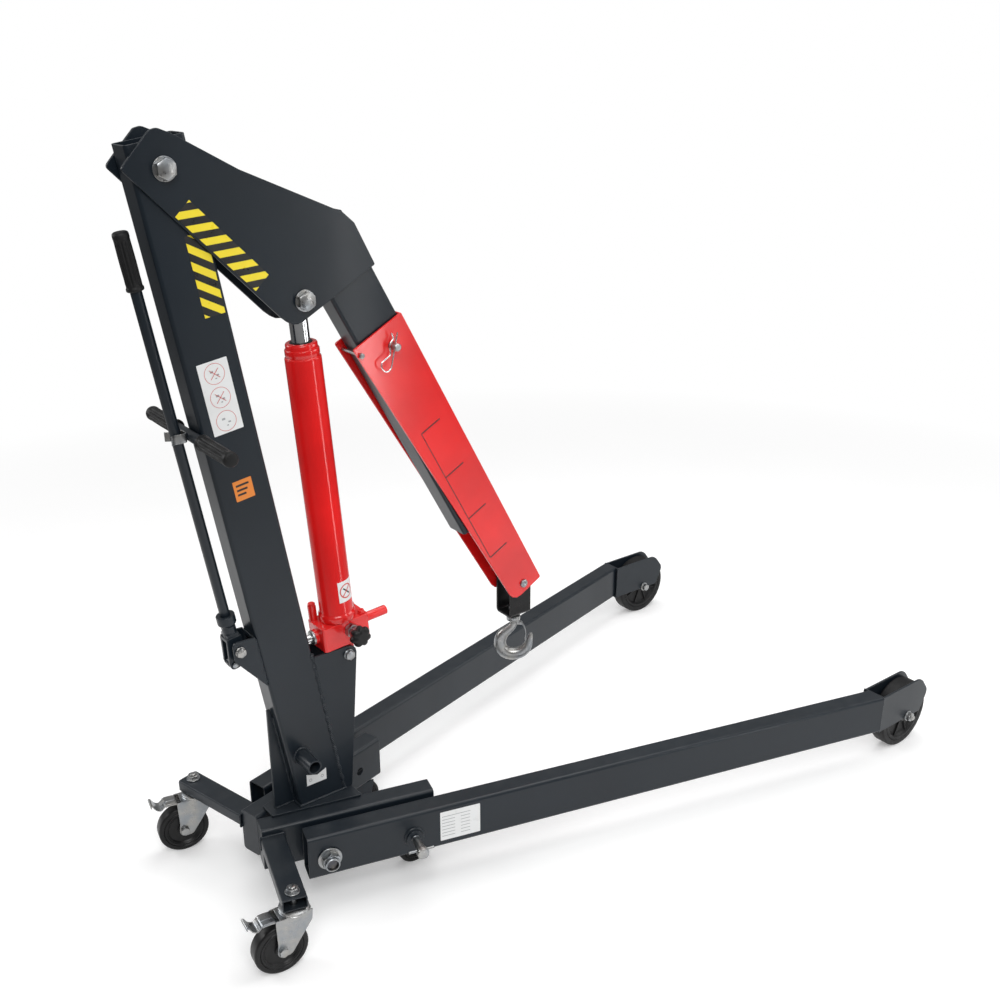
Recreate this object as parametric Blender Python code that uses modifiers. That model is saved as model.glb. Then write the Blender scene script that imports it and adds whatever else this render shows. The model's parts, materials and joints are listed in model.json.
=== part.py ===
"""Folding engine hoist crane: a splayed wheeled base, a leaning column and a hydraulic lifting boom.

Metres, +Z up. X runs forward to the leg tips and Y to the left of the crane, with y = 0 on its
centre plane. The parts are drawn with x = 0 at the leg hinge bolts and then moved back, so that
the origin is on the floor below the middle of the crane's length.
"""
import math

import bmesh
import bpy
from mathutils import Matrix, Vector

# The middle of the crane's length, measured forward from the hinge bolts
MIDDLE_X = 0.5977

# Fits
GAP = 0.0003
SHAFT_GAP = 0.0003

# Base: each leg is hinged to the outside of a rail, both splayed outwards
SPLAY = math.radians(15.18)
LEG_LINE = 0.12985
TUBE_WIDTH = 0.045
TUBE_HEIGHT = 0.090
TUBE_BOTTOM = 0.076
TUBE_TOP = TUBE_BOTTOM + TUBE_HEIGHT
TUBE_WALL = 0.003
TUBE_CORNER = 0.007
LEG_REAR = -0.040
LEG_TIP_X = 1.230
HINGE_Z = 0.116
HINGE_SPACE = 0.014
HINGE_BOLT_R = 0.008
RAIL_OUTER = TUBE_WIDTH + HINGE_SPACE
RAIL_INNER = RAIL_OUTER + TUBE_WIDTH
RAIL_REAR = -0.112
RAIL_FRONT = 0.226
PIN_ALONG = 0.165
PIN_R = 0.008
PIN_TIP = 0.044
PIN_HEAD_OUT = 0.057
PIN_COLLAR_R = 0.017
PIN_COLLAR_OUT = 0.008
PIN_BAR_OUT = 0.043
PIN_BAR_HALF = 0.025
PIN_BAR_R = 0.0025
BASE_PLATE_Z = (TUBE_TOP + GAP, 0.1713)

# Leg wheels in forks at the leg tips
FORK_Y = (0.410, 0.462)
FORK_SHEET = 0.005
LEG_WHEEL = (1.336, 0.436, 0.080)
LEG_WHEEL_R = 0.080
LEG_AXLE_R = 0.006

# Middle wheels under the front of the rails
MID_ALONG = 0.187
MID_WHEEL_R = 0.0375
MID_AXLE_R = 0.004

# Swivel casters on arms behind the base
ARM_ALONG = (-0.115, -0.070)
ARM_Z = (0.127, 0.152)
ARM_END = -0.127
STEM_ALONG = -0.0925
STEM_OFF = -0.108
STEM_R = 0.006
CASTER_R = 0.050
CASTER_TRAIL = 0.031
CASTER_AXLE_R = 0.005
CASTER_YAW_LEFT = math.radians(-10.0)
CASTER_YAW_RIGHT = math.radians(-6.0)

# Column
LEAN = math.radians(9.23)
COLUMN_DEPTH = 0.0954
COLUMN_HALF_WIDTH = 0.0268
COLUMN_WALL = 0.003
COLUMN_FOOT_X = 0.07535
COLUMN_BOTTOM_Z = BASE_PLATE_Z[1] + GAP
COLUMN_LENGTH = 1.4129
STOW_X, STOW_Z, STOW_R, STOW_BORE, STOW_HALF = 0.008, 0.283, 0.014, 0.0112, 0.079

# Boom, drawn in its own plane: u along the tube from the pivot, v square to it
BOOM_PIVOT = (-0.14406, 1.3529)
BOOM_REST = math.radians(-61.6)
BOOM_BOLT_R = 0.008
BOOM_PLATE_Y = (0.0273, 0.0330)
BOOM_TUBE_U = (0.213, 0.889)
BOOM_TUBE_V = (0.1275, 0.2230)
BOOM_TUBE_WALL = 0.003
RAM_EYE_UV = (0.2949, 0.0847)
EXTENSION_U = (0.421, 1.102)
EXTENSION_TOP = 0.2272
EXTENSION_INNER_HALF = 0.0287
EXTENSION_PIN_UV = (0.460, 0.182)
EXTENSION_PIN_R = 0.007
EXTENSION_STEP = 0.110
EXTENSION_STEPS = 3
EXTENSION_BOLT_UV = (0.438, 0.1225)
EXTENSION_BOLT_R = 0.0025
HOOK_PIN_UV = (1.082, 0.186)
HOOK_PIN_R = 0.006

# Ram: base bolt, then lengths measured up the ram from it
RAM_FOOT = (0.120, 0.460)
RAM_BOLT_R = 0.007
RAM_BLOCK_W = (0.022, 0.070)
RAM_BODY_R = 0.0315
RAM_TOP_W = 0.600
ROD_R = 0.016
ROD_START_W = 0.255
KNOB_FW = (0.008, 0.0526)
PLUNGER_W = 0.047
PLUNGER_R = 0.007

# Pump lever at the back of the column
LEVER_PIVOT = (-0.094, 0.536)
LEVER_TILT = math.radians(8.98)
LEVER_TUBE_R = 0.009
LEVER_BOLT_R = 0.005
LINK_PIN = (-0.100, 0.507)
LINK_PIN_R = 0.004
PUSH_BAR = (-0.1344, 0.935)
PUSH_BAR_R = 0.009
PUSH_BAR_HALF = 0.155

# Hook, drawn in its own plane: u towards the hook's point, z height above the floor
HOOK_YAW = math.radians(-37.5)

ROUND = 18
SMALL_ROUND = 12

X_AXIS = Vector((1, 0, 0))
Y_AXIS = Vector((0, 1, 0))
Z_AXIS = Vector((0, 0, 1))
ALONG = Vector((math.cos(SPLAY), math.sin(SPLAY), 0))
OUT = Vector((-math.sin(SPLAY), math.cos(SPLAY), 0))
COLUMN_UP = Vector((-math.sin(LEAN), 0, math.cos(LEAN)))
COLUMN_FORE = Vector((math.cos(LEAN), 0, math.sin(LEAN)))
BOOM_U = Vector((math.cos(BOOM_REST), 0, math.sin(BOOM_REST)))
BOOM_V = Vector((-math.sin(BOOM_REST), 0, math.cos(BOOM_REST)))


# Scene and materials

def clear_scene():
    for obj in list(bpy.data.objects):
        bpy.data.objects.remove(obj, do_unlink=True)


def paint(name, color, roughness, metallic=0.0):
    material = bpy.data.materials.new(name)
    material.use_nodes = True
    shader = material.node_tree.nodes["Principled BSDF"]
    shader.inputs["Base Color"].default_value = (*color, 1.0)
    shader.inputs["Roughness"].default_value = roughness
    shader.inputs["Metallic"].default_value = metallic
    material.diffuse_color = (*color, 1.0)
    return material


clear_scene()
CRANE = bpy.data.collections.new("engine_hoist_crane")
bpy.context.scene.collection.children.link(CRANE)

DARK_PAINT = paint("anthracite_paint", (0.028, 0.033, 0.038), 0.38)
RED_PAINT = paint("red_paint", (0.60, 0.010, 0.012), 0.26)
ZINC = paint("zinc_plate", (0.62, 0.63, 0.65), 0.34, 1.0)
CHROME = paint("polished_chrome", (0.78, 0.79, 0.80), 0.10, 1.0)
RUBBER = paint("black_rubber", (0.018, 0.018, 0.019), 0.62)
PLASTIC = paint("black_plastic", (0.022, 0.023, 0.025), 0.45)


# Frames: each maps drawing coordinates to the crane

def frame(origin, u_axis, v_axis):
    w_axis = u_axis.cross(v_axis)
    turned = Matrix((u_axis, v_axis, w_axis)).transposed().to_4x4()
    return Matrix.Translation(origin) @ turned


def leg_point(along, offset, height):
    return ALONG * along - OUT * offset + Vector((0, LEG_LINE, height))


def boom_point(u, v, y=0.0):
    pivot = Vector((BOOM_PIVOT[0], y, BOOM_PIVOT[1]))
    return pivot + BOOM_U * u + BOOM_V * v


RAM_FOOT_POINT = Vector((RAM_FOOT[0], 0, RAM_FOOT[1]))
RAM_EYE_POINT = boom_point(*RAM_EYE_UV)
RAM_LENGTH = (RAM_EYE_POINT - RAM_FOOT_POINT).length
RAM_UP = (RAM_EYE_POINT - RAM_FOOT_POINT).normalized()
RAM_FORE = Vector((RAM_UP.z, 0, -RAM_UP.x))
LEVER_UP = Vector((-math.sin(LEVER_TILT), 0, math.cos(LEVER_TILT)))
LEVER_FORE = Vector((math.cos(LEVER_TILT), 0, math.sin(LEVER_TILT)))
LEVER_PIVOT_POINT = Vector((LEVER_PIVOT[0], 0, LEVER_PIVOT[1]))
LINK_PIN_POINT = Vector((LINK_PIN[0], 0, LINK_PIN[1]))
HOOK_PIN_POINT = boom_point(*HOOK_PIN_UV)
STEM_POINT = leg_point(STEM_ALONG, STEM_OFF, 0)
MID_POINT = leg_point(MID_ALONG, (RAIL_OUTER + RAIL_INNER) / 2, MID_WHEEL_R)
LEG_HINGE_POINT = leg_point(0, TUBE_WIDTH / 2, HINGE_Z)

SIDE = frame(Vector((0, 0, 0)), X_AXIS, Z_AXIS)
PLAN = frame(Vector((0, 0, 0)), X_AXIS, Y_AXIS)
BOOM_SIDE = frame(boom_point(0, 0), BOOM_U, BOOM_V)
RAM_SIDE = frame(RAM_FOOT_POINT, RAM_FORE, RAM_UP)
RAM_AXIS = frame(RAM_FOOT_POINT, RAM_FORE, Y_AXIS)
LEVER_SIDE = frame(LEVER_PIVOT_POINT, LEVER_FORE, LEVER_UP)
LEVER_AXIS = frame(LEVER_PIVOT_POINT, LEVER_FORE, Y_AXIS)
HOOK_U = Vector((math.cos(HOOK_YAW), math.sin(HOOK_YAW), 0))
HOOK_FOOT = Vector((HOOK_PIN_POINT.x, 0, 0))
HOOK_SIDE = frame(HOOK_FOOT, HOOK_U, Z_AXIS)
HOOK_AXIS = frame(HOOK_FOOT, X_AXIS, Y_AXIS)


def across(point):
    """A frame whose drawing axis w runs along +Y through a point."""
    return frame(Vector((point.x, 0, point.z)), Z_AXIS, X_AXIS)


def outwards(along, height):
    """A frame whose w axis runs out of the left leg, from its outer face."""
    return frame(leg_point(along, 0, height), Z_AXIS, ALONG)


# Outlines

def rounded(corners, steps=3):
    """An outline whose corners (u, v) or (u, v, radius) are rounded."""
    points = []
    count = len(corners)
    for index, corner in enumerate(corners):
        here = Vector(corner[:2])
        radius = corner[2] if len(corner) > 2 else 0.0
        if radius == 0.0:
            points.append(tuple(here))
            continue
        before = (Vector(corners[index - 1][:2]) - here).normalized()
        after = (Vector(corners[(index + 1) % count][:2]) - here).normalized()
        half = before.angle(after) / 2
        centre = here + (before + after).normalized() * (radius / math.sin(half))
        start = here + before * (radius / math.tan(half)) - centre
        sweep = math.pi - 2 * half
        if before.cross(after) > 0:
            sweep = -sweep
        for step in range(steps + 1):
            angle = sweep * step / steps
            turn = Matrix.Rotation(angle, 2)
            points.append(tuple(centre + turn @ start))
    return points


def rectangle(low_u, high_u, low_v, high_v, radius=0.0, steps=3):
    corners = ((low_u, low_v), (high_u, low_v), (high_u, high_v), (low_u, high_v))
    return rounded([(*corner, radius) for corner in corners], steps)


def circle(u, v, radius, steps=ROUND):
    turns = [2 * math.pi * step / steps for step in range(steps)]
    return [(u + radius * math.cos(turn), v + radius * math.sin(turn)) for turn in turns]


def ribbon(path, thickness):
    """The outline of a strip of even thickness along a path."""
    left = []
    right = []
    for index, point in enumerate(path):
        here = Vector(point)
        ahead = Vector(path[min(index + 1, len(path) - 1)]) - here
        behind = here - Vector(path[max(index - 1, 0)])
        if index == 0:
            behind = ahead
        if index == len(path) - 1:
            ahead = behind
        normal = (ahead.normalized() + behind.normalized()).normalized().orthogonal()
        reach = thickness / 2 / max(0.3, abs(normal.dot(ahead.normalized().orthogonal())))
        left.append(tuple(here + normal * reach))
        right.append(tuple(here - normal * reach))
    return left + right[::-1]


# Solids

def cleaned(mesh, weld=1e-6):
    body = bmesh.new()
    body.from_mesh(mesh)
    bmesh.ops.remove_doubles(body, verts=body.verts, dist=weld)
    bmesh.ops.recalc_face_normals(body, faces=body.faces)
    body.to_mesh(mesh)
    body.free()
    return mesh


def prism(outline, low, high, where, holes=()):
    """A flat outline with holes, filled and extruded from low to high along w."""
    curve = bpy.data.curves.new("outline", "CURVE")
    curve.dimensions = "2D"
    curve.fill_mode = "BOTH"
    curve.extrude = (high - low) / 2
    for ring in (outline, *holes):
        spline = curve.splines.new("POLY")
        spline.points.add(len(ring) - 1)
        spline.use_cyclic_u = True
        for point, (u, v) in zip(spline.points, ring):
            point.co = (u, v, 0, 1)
    drawn = bpy.data.objects.new("outline", curve)
    mesh = bpy.data.meshes.new_from_object(drawn)
    bpy.data.objects.remove(drawn)
    bpy.data.curves.remove(curve)
    mesh.transform(where @ Matrix.Translation((0, 0, (low + high) / 2)))
    return cleaned(mesh)


def side_prism(outline, low_y, high_y, where=SIDE, holes=()):
    """A side-view outline spanning low_y to high_y: a side view's w axis is -Y."""
    return prism(outline, -high_y, -low_y, where, holes)


def evaluated(obj):
    bpy.context.view_layer.update()
    graph = bpy.context.evaluated_depsgraph_get()
    return bpy.data.meshes.new_from_object(obj.evaluated_get(graph))


def turned(profile, where, steps=ROUND, closed=False):
    """A profile of (radius, w) turned about the w axis."""
    mesh = bpy.data.meshes.new("profile")
    points = [(radius, 0, w) for radius, w in profile]
    edges = [(index, index + 1) for index in range(len(points) - 1)]
    if closed:
        edges.append((len(points) - 1, 0))
    mesh.from_pydata(points, edges, [])
    obj = bpy.data.objects.new("profile", mesh)
    CRANE.objects.link(obj)
    screw = obj.modifiers.new("turn", "SCREW")
    screw.axis = "Z"
    screw.steps = steps
    screw.render_steps = steps
    screw.use_merge_vertices = True
    screw.merge_threshold = 1e-6
    result = evaluated(obj)
    bpy.data.objects.remove(obj)
    bpy.data.meshes.remove(mesh)
    result.transform(where)
    return cleaned(result)


def stack(sections, where, steps=ROUND):
    """Round and hexagonal sections (w, size, kind) lofted in order; size is a radius or half the flats."""
    body = bmesh.new()
    rings = []
    for w, size, kind in sections:
        ring = []
        for step in range(steps):
            turn = 2 * math.pi * step / steps
            reach = size
            if kind == "hex":
                reach = size / math.cos((turn % (math.pi / 3)) - math.pi / 6)
            ring.append(body.verts.new((reach * math.cos(turn), reach * math.sin(turn), w)))
        rings.append(ring)
    for lower, upper in zip(rings, rings[1:]):
        for step in range(steps):
            after = (step + 1) % steps
            body.faces.new((lower[step], lower[after], upper[after], upper[step]))
    body.faces.new(rings[0][::-1])
    body.faces.new(rings[-1])
    mesh = bpy.data.meshes.new("stack")
    body.to_mesh(mesh)
    body.free()
    mesh.transform(where)
    return cleaned(mesh)


def rod(low, high, radius, where, steps=ROUND):
    return stack(((low, radius, "round"), (high, radius, "round")), where, steps)


def swept(path, radii, where, resolution=2):
    """A round bar of changing radius along a path of (u, v, w) points."""
    curve = bpy.data.curves.new("path", "CURVE")
    curve.dimensions = "3D"
    curve.bevel_depth = 0.001
    curve.bevel_resolution = resolution
    curve.use_fill_caps = True
    spline = curve.splines.new("POLY")
    spline.points.add(len(path) - 1)
    for point, place, radius in zip(spline.points, path, radii):
        point.co = (*place, 1)
        point.radius = radius / 0.001
    drawn = bpy.data.objects.new("path", curve)
    mesh = bpy.data.meshes.new_from_object(drawn)
    bpy.data.objects.remove(drawn)
    bpy.data.curves.remove(curve)
    mesh.transform(where)
    return cleaned(mesh)


def combine(mesh, others, operation):
    """Boolean of one solid with each of the others in turn."""
    for other in others:
        base = bpy.data.objects.new("base", mesh)
        tool = bpy.data.objects.new("tool", other)
        CRANE.objects.link(base)
        CRANE.objects.link(tool)
        boolean = base.modifiers.new(operation.lower(), "BOOLEAN")
        boolean.operation = operation
        boolean.solver = "EXACT"
        boolean.object = tool
        result = evaluated(base)
        bpy.data.objects.remove(base)
        bpy.data.objects.remove(tool)
        bpy.data.meshes.remove(mesh)
        bpy.data.meshes.remove(other)
        mesh = cleaned(result)
    return mesh


def union(mesh, *others):
    return combine(mesh, others, "UNION")


def cut(mesh, *others):
    return combine(mesh, others, "DIFFERENCE")


def slide_end(mesh, axis, inside, point, normal):
    """Moves the end ring beyond inside along the axis onto a plane."""
    for vertex in mesh.vertices:
        if vertex.co.dot(axis) > inside:
            vertex.co += axis * ((point - vertex.co).dot(normal) / axis.dot(normal))
    return mesh


def half_facet(steps):
    """The u axis that puts a flat of a turned wheel on the floor."""
    turn = math.pi / steps
    return Vector((math.sin(turn), 0, -math.cos(turn)))


# Adding named parts

def add(name, mesh, material, origin=None, smooth=True):
    place = Vector(origin) if origin is not None else Vector((0, 0, 0))
    mesh.transform(Matrix.Translation(-place))
    mesh.name = name
    mesh.materials.clear()
    mesh.materials.append(material)
    if smooth:
        for polygon in mesh.polygons:
            polygon.use_smooth = True
        mesh.set_sharp_from_angle(angle=math.radians(35))
    obj = bpy.data.objects.new(name, mesh)
    obj.location = place - X_AXIS * MIDDLE_X
    CRANE.objects.link(obj)
    return obj


def mirrored(mesh):
    copy = mesh.copy()
    copy.transform(Matrix.Scale(-1, 4, Y_AXIS))
    copy.flip_normals()
    return copy


def add_pair(name, mesh, material, origin=None):
    """The left part and its mirror image on the right."""
    place = Vector(origin) if origin is not None else Vector((0, 0, 0))
    other = mirrored(mesh)
    add(name + "_left", mesh, material, place)
    add(name + "_right", other, material, (place.x, -place.y, place.z))


# Base

def make_rails():
    middle = leg_point(0, (RAIL_OUTER + RAIL_INNER) / 2, TUBE_BOTTOM + TUBE_HEIGHT / 2)
    where = frame(middle, OUT, Z_AXIS)
    half_w, half_h = TUBE_WIDTH / 2, TUBE_HEIGHT / 2
    outer = rectangle(-half_w, half_w, -half_h, half_h, TUBE_CORNER)
    bore = rectangle(
        TUBE_WALL - half_w, half_w - TUBE_WALL, TUBE_WALL - half_h, half_h - TUBE_WALL
    )
    rail = prism(outer, RAIL_REAR, RAIL_FRONT, where)
    rail = cut(
        rail,
        prism(bore, RAIL_REAR + TUBE_WALL, RAIL_FRONT + TUBE_WALL, where),
        rod(-0.15, 0.0, HINGE_BOLT_R + SHAFT_GAP, outwards(0, HINGE_Z)),
        rod(-0.15, 0.0, PIN_R + SHAFT_GAP, outwards(PIN_ALONG, HINGE_Z)),
    )
    add_pair("base_rail", rail, DARK_PAINT)


def make_base_plate():
    corners = ((-0.058, -0.020), (0.111, -0.064), (0.111, 0.064), (-0.058, 0.020))
    outline = rounded([(*corner, 0.003) for corner in corners])
    add("base_plate", prism(outline, *BASE_PLATE_Z, PLAN), DARK_PAINT)


def make_legs():
    middle = leg_point(0, TUBE_WIDTH / 2, TUBE_BOTTOM + TUBE_HEIGHT / 2)
    where = frame(middle, OUT, Z_AXIS)
    half_w, half_h = TUBE_WIDTH / 2, TUBE_HEIGHT / 2
    outer = rectangle(-half_w, half_w, -half_h, half_h, TUBE_CORNER)
    bore = rectangle(
        TUBE_WALL - half_w, half_w - TUBE_WALL, TUBE_WALL - half_h, half_h - TUBE_WALL
    )
    leg = prism(outer, LEG_REAR, LEG_TIP_X, where, (bore,))
    tip = Vector((LEG_TIP_X - GAP, 0, 0))
    leg = slide_end(leg, ALONG, LEG_TIP_X / 2, tip, X_AXIS)
    collar = rod(-0.0015, PIN_COLLAR_OUT, PIN_COLLAR_R, outwards(PIN_ALONG, HINGE_Z))
    leg = union(leg, collar)
    leg = cut(
        leg,
        rod(-0.06, 0.02, HINGE_BOLT_R + SHAFT_GAP, outwards(0, HINGE_Z)),
        rod(-0.06, 0.02, PIN_R + SHAFT_GAP, outwards(PIN_ALONG, HINGE_Z)),
    )
    add_pair("leg", leg, DARK_PAINT, LEG_HINGE_POINT)


def make_hinge_bolts():
    sections = (
        (-RAIL_INNER - 0.0135, 0.011, "hex"),
        (-RAIL_INNER - 0.0035, 0.011, "hex"),
        (-RAIL_INNER - 0.0035, 0.015, "round"),
        (-RAIL_INNER - GAP, 0.015, "round"),
        (-RAIL_INNER - GAP, HINGE_BOLT_R, "round"),
        (-RAIL_OUTER + GAP, HINGE_BOLT_R, "round"),
        (-RAIL_OUTER + GAP, 0.017, "round"),
        (-TUBE_WIDTH - GAP, 0.017, "round"),
        (-TUBE_WIDTH - GAP, HINGE_BOLT_R, "round"),
        (GAP, HINGE_BOLT_R, "round"),
        (GAP, 0.023, "round"),
        (0.0035, 0.023, "round"),
        (0.0035, 0.0155, "hex"),
        (0.0165, 0.0155, "hex"),
        (0.0165, 0.0140, "round"),
        (0.0240, 0.0140, "round"),
    )
    add_pair("leg_hinge_bolt", stack(sections, outwards(0, HINGE_Z)), ZINC)


def make_lock_pins():
    sections = (
        (-PIN_TIP, 0.0065, "round"),
        (-PIN_TIP + 0.003, PIN_R, "round"),
        (0.046, PIN_R, "round"),
        (0.046, 0.0100, "round"),
        (0.048, 0.0115, "round"),
        (PIN_HEAD_OUT - 0.002, 0.0115, "round"),
        (PIN_HEAD_OUT, 0.0100, "round"),
    )
    pin = stack(sections, outwards(PIN_ALONG, HINGE_Z))
    middle = leg_point(PIN_ALONG, 0, HINGE_Z) + PIN_BAR_OUT * OUT
    bar = rod(-PIN_BAR_HALF, PIN_BAR_HALF, PIN_BAR_R, frame(middle, OUT, Z_AXIS), SMALL_ROUND)
    add_pair("lock_pin", union(pin, bar), ZINC, leg_point(PIN_ALONG, 0, HINGE_Z))


def make_leg_forks():
    low, high = FORK_Y
    outline = rounded((
        (LEG_TIP_X, TUBE_BOTTOM), (1.384, TUBE_BOTTOM, 0.008), (1.407, 0.124, 0.020),
        (1.376, 0.164, 0.030), (LEG_TIP_X, 0.164),
    ), 5)
    fork = side_prism(outline, low, high)
    inside = rectangle(LEG_TIP_X + FORK_SHEET, 1.45, 0.0, 0.25)
    axle = across(Vector(LEG_WHEEL))
    fork = cut(
        fork,
        side_prism(inside, low + FORK_SHEET, high - FORK_SHEET),
        rod(low - 0.02, high + 0.02, LEG_AXLE_R + SHAFT_GAP, axle),
    )
    add_pair("leg_wheel_fork", fork, DARK_PAINT)
    sections = (
        (low - 0.0125, 0.0085, "hex"),
        (low - 0.0025, 0.0085, "hex"),
        (low - 0.0025, 0.0120, "round"),
        (low - GAP, 0.0120, "round"),
        (low - GAP, LEG_AXLE_R, "round"),
        (high + GAP, LEG_AXLE_R, "round"),
        (high + GAP, 0.0120, "round"),
        (high + 0.0025, 0.0120, "round"),
        (high + 0.0025, 0.0095, "hex"),
        (high + 0.0105, 0.0095, "hex"),
        (high + 0.0105, 0.0055, "round"),
        (high + 0.0160, 0.0055, "round"),
    )
    height = Vector((LEG_WHEEL[0], 0, LEG_WHEEL[2]))
    add_pair("leg_wheel_axle", stack(sections, across(height)), ZINC)


def wheel(centre, bore, hub, hub_half, web_half, rim, tread_half, radius, steps):
    """A wheel on a Y axle, its tread drawn so that flats, not corners, reach the radius."""
    reach = radius / math.cos(math.pi / steps)
    edge = tread_half * 0.35
    half = (
        (bore, hub_half), (hub, hub_half), (hub + 0.002, web_half), (rim - 0.002, web_half),
        (rim, tread_half), (reach - 0.35 * edge, tread_half), (reach, tread_half - edge),
    )
    profile = list(half) + [(radius_at, -w) for radius_at, w in reversed(half)]
    down = half_facet(steps)
    where = frame(centre, down, Y_AXIS.cross(down))
    return turned(profile, where, steps, closed=True)


def make_leg_wheels():
    centre = Vector(LEG_WHEEL)
    shape = wheel(
        centre, LEG_AXLE_R + SHAFT_GAP, 0.018, 0.0205, 0.011, 0.056, 0.018, LEG_WHEEL_R, 30
    )
    add_pair("leg_wheel", shape, RUBBER, centre)


def make_mid_wheels():
    centre = MID_POINT
    shape = wheel(
        centre, MID_AXLE_R + SHAFT_GAP, 0.010, 0.0140, 0.008, 0.024, 0.012, MID_WHEEL_R, 20
    )
    add_pair("mid_wheel", shape, RUBBER, centre)
    outline = rounded((
        (centre.x - 0.022, TUBE_BOTTOM - GAP), (centre.x - 0.011, 0.027, 0.009),
        (centre.x + 0.011, 0.027, 0.009), (centre.x + 0.022, TUBE_BOTTOM - GAP),
    ))
    near, far = 0.0145, 0.0185
    sections = (
        (centre.y - far - 0.006, 0.0060, "hex"),
        (centre.y - far + 0.001, 0.0060, "hex"),
        (centre.y - far + 0.001, MID_AXLE_R, "round"),
        (centre.y + far - 0.001, MID_AXLE_R, "round"),
        (centre.y + far - 0.001, 0.0060, "hex"),
        (centre.y + far + 0.006, 0.0060, "hex"),
    )
    fork = union(
        stack(sections, across(centre)),
        side_prism(outline, centre.y + near, centre.y + far),
        side_prism(outline, centre.y - far, centre.y - near),
    )
    add_pair("mid_wheel_fork", fork, DARK_PAINT)


def make_caster_arms():
    middle_along = (ARM_ALONG[0] + ARM_ALONG[1]) / 2
    middle_z = (ARM_Z[0] + ARM_Z[1]) / 2
    where = frame(leg_point(middle_along, 0, middle_z), Z_AXIS, ALONG)
    half_z = (ARM_Z[1] - ARM_Z[0]) / 2
    half_s = (ARM_ALONG[1] - ARM_ALONG[0]) / 2
    wall = 0.0025
    outer = rectangle(-half_z, half_z, -half_s, half_s, 0.004, 2)
    bore = rectangle(wall - half_z, half_z - wall, wall - half_s, half_s - wall)
    arm = prism(outer, GAP - RAIL_OUTER, -ARM_END, where, (bore,))
    arm = cut(arm, rod(0.10, 0.18, STEM_R + SHAFT_GAP, frame(STEM_POINT, X_AXIS, Y_AXIS)))
    add_pair("caster_arm", arm, DARK_PAINT)


def caster_fork():
    outline = rounded((
        (0.030, 0.1185), (0.030, 0.098, 0.006), (-0.016, 0.037, 0.012),
        (-0.046, 0.037, 0.012), (-0.050, 0.080, 0.020), (-0.036, 0.1185),
    ))
    shape = side_prism(outline, -0.0182, 0.0182)
    inside = rectangle(-0.08, 0.06, 0.0, 0.1158)
    shape = cut(shape, side_prism(inside, -0.0157, 0.0157))
    kingpin = (
        (0.1170, 0.0270, "round"),
        (0.1235, 0.0270, "round"),
        (0.1262, 0.0230, "round"),
        (0.1262, STEM_R, "round"),
        (0.1523, STEM_R, "round"),
        (0.1523, 0.0130, "round"),
        (0.1548, 0.0130, "round"),
        (0.1548, 0.0095, "hex"),
        (0.1620, 0.0095, "hex"),
        (0.1620, 0.0055, "round"),
        (0.1650, 0.0055, "round"),
    )
    axle = (
        (-0.0250, 0.0080, "hex"),
        (-0.0175, 0.0080, "hex"),
        (-0.0175, CASTER_AXLE_R, "round"),
        (0.0175, CASTER_AXLE_R, "round"),
        (0.0175, 0.0080, "hex"),
        (0.0250, 0.0080, "hex"),
    )
    centre = Vector((-CASTER_TRAIL, 0, CASTER_R))
    return union(shape, stack(kingpin, PLAN), stack(axle, across(centre)))


def caster_brake():
    path = (
        (-0.014, 0.1118), (-0.030, 0.1100), (-0.038, 0.1125), (-0.042, 0.1165), (-0.060, 0.1170),
        (-0.066, 0.1120), (-0.072, 0.1080), (-0.080, 0.1120), (-0.0875, 0.1232),
    )
    pedal = side_prism(ribbon(path, 0.0026), -0.0150, 0.0150)
    boss = rod(-0.0154, 0.0154, 0.0034, across(Vector((-0.0204, 0, 0.1109))), SMALL_ROUND)
    return union(pedal, boss)


def make_casters():
    for side, mirror, yaw in (("left", 1, CASTER_YAW_LEFT), ("right", -1, CASTER_YAW_RIGHT)):
        stem = Vector((STEM_POINT.x, mirror * STEM_POINT.y, 0))
        turn = Matrix.Translation(stem) @ Matrix.Rotation(yaw, 4, "Z")
        fork = caster_fork()
        fork.transform(turn)
        add("caster_fork_" + side, fork, ZINC, stem + Vector((0, 0, 0.1225)))
        centre = Vector((-CASTER_TRAIL, 0, CASTER_R))
        tyre = wheel(
            centre, CASTER_AXLE_R + SHAFT_GAP, 0.012, 0.0150, 0.010, 0.034, 0.0135, CASTER_R, 24
        )
        tyre.transform(turn)
        add("caster_wheel_" + side, tyre, RUBBER, turn @ centre)
        brake = caster_brake()
        brake.transform(turn)
        add("caster_brake_" + side, brake, ZINC, turn @ Vector((-0.0204, 0, 0.1109)))


# Column and what is welded to it

def column_face(height, front):
    """x of the column's front or rear face at a height, on the centre plane."""
    half = COLUMN_DEPTH / 2 / math.cos(LEAN)
    middle = COLUMN_FOOT_X - height * math.tan(LEAN)
    return middle + half if front else middle - half


def column_box(fore, half_y, low_z, high_z):
    """A cutter through one wall of the column, between two heights on that wall."""
    where = frame(Vector((COLUMN_FOOT_X, 0, 0)), COLUMN_FORE, Y_AXIS)
    shift = fore * math.tan(LEAN)
    low = low_z / math.cos(LEAN) - shift
    high = high_z / math.cos(LEAN) - shift
    outline = rectangle(fore - 0.006, fore + 0.006, -half_y, half_y)
    return prism(outline, low, high, where)


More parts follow.
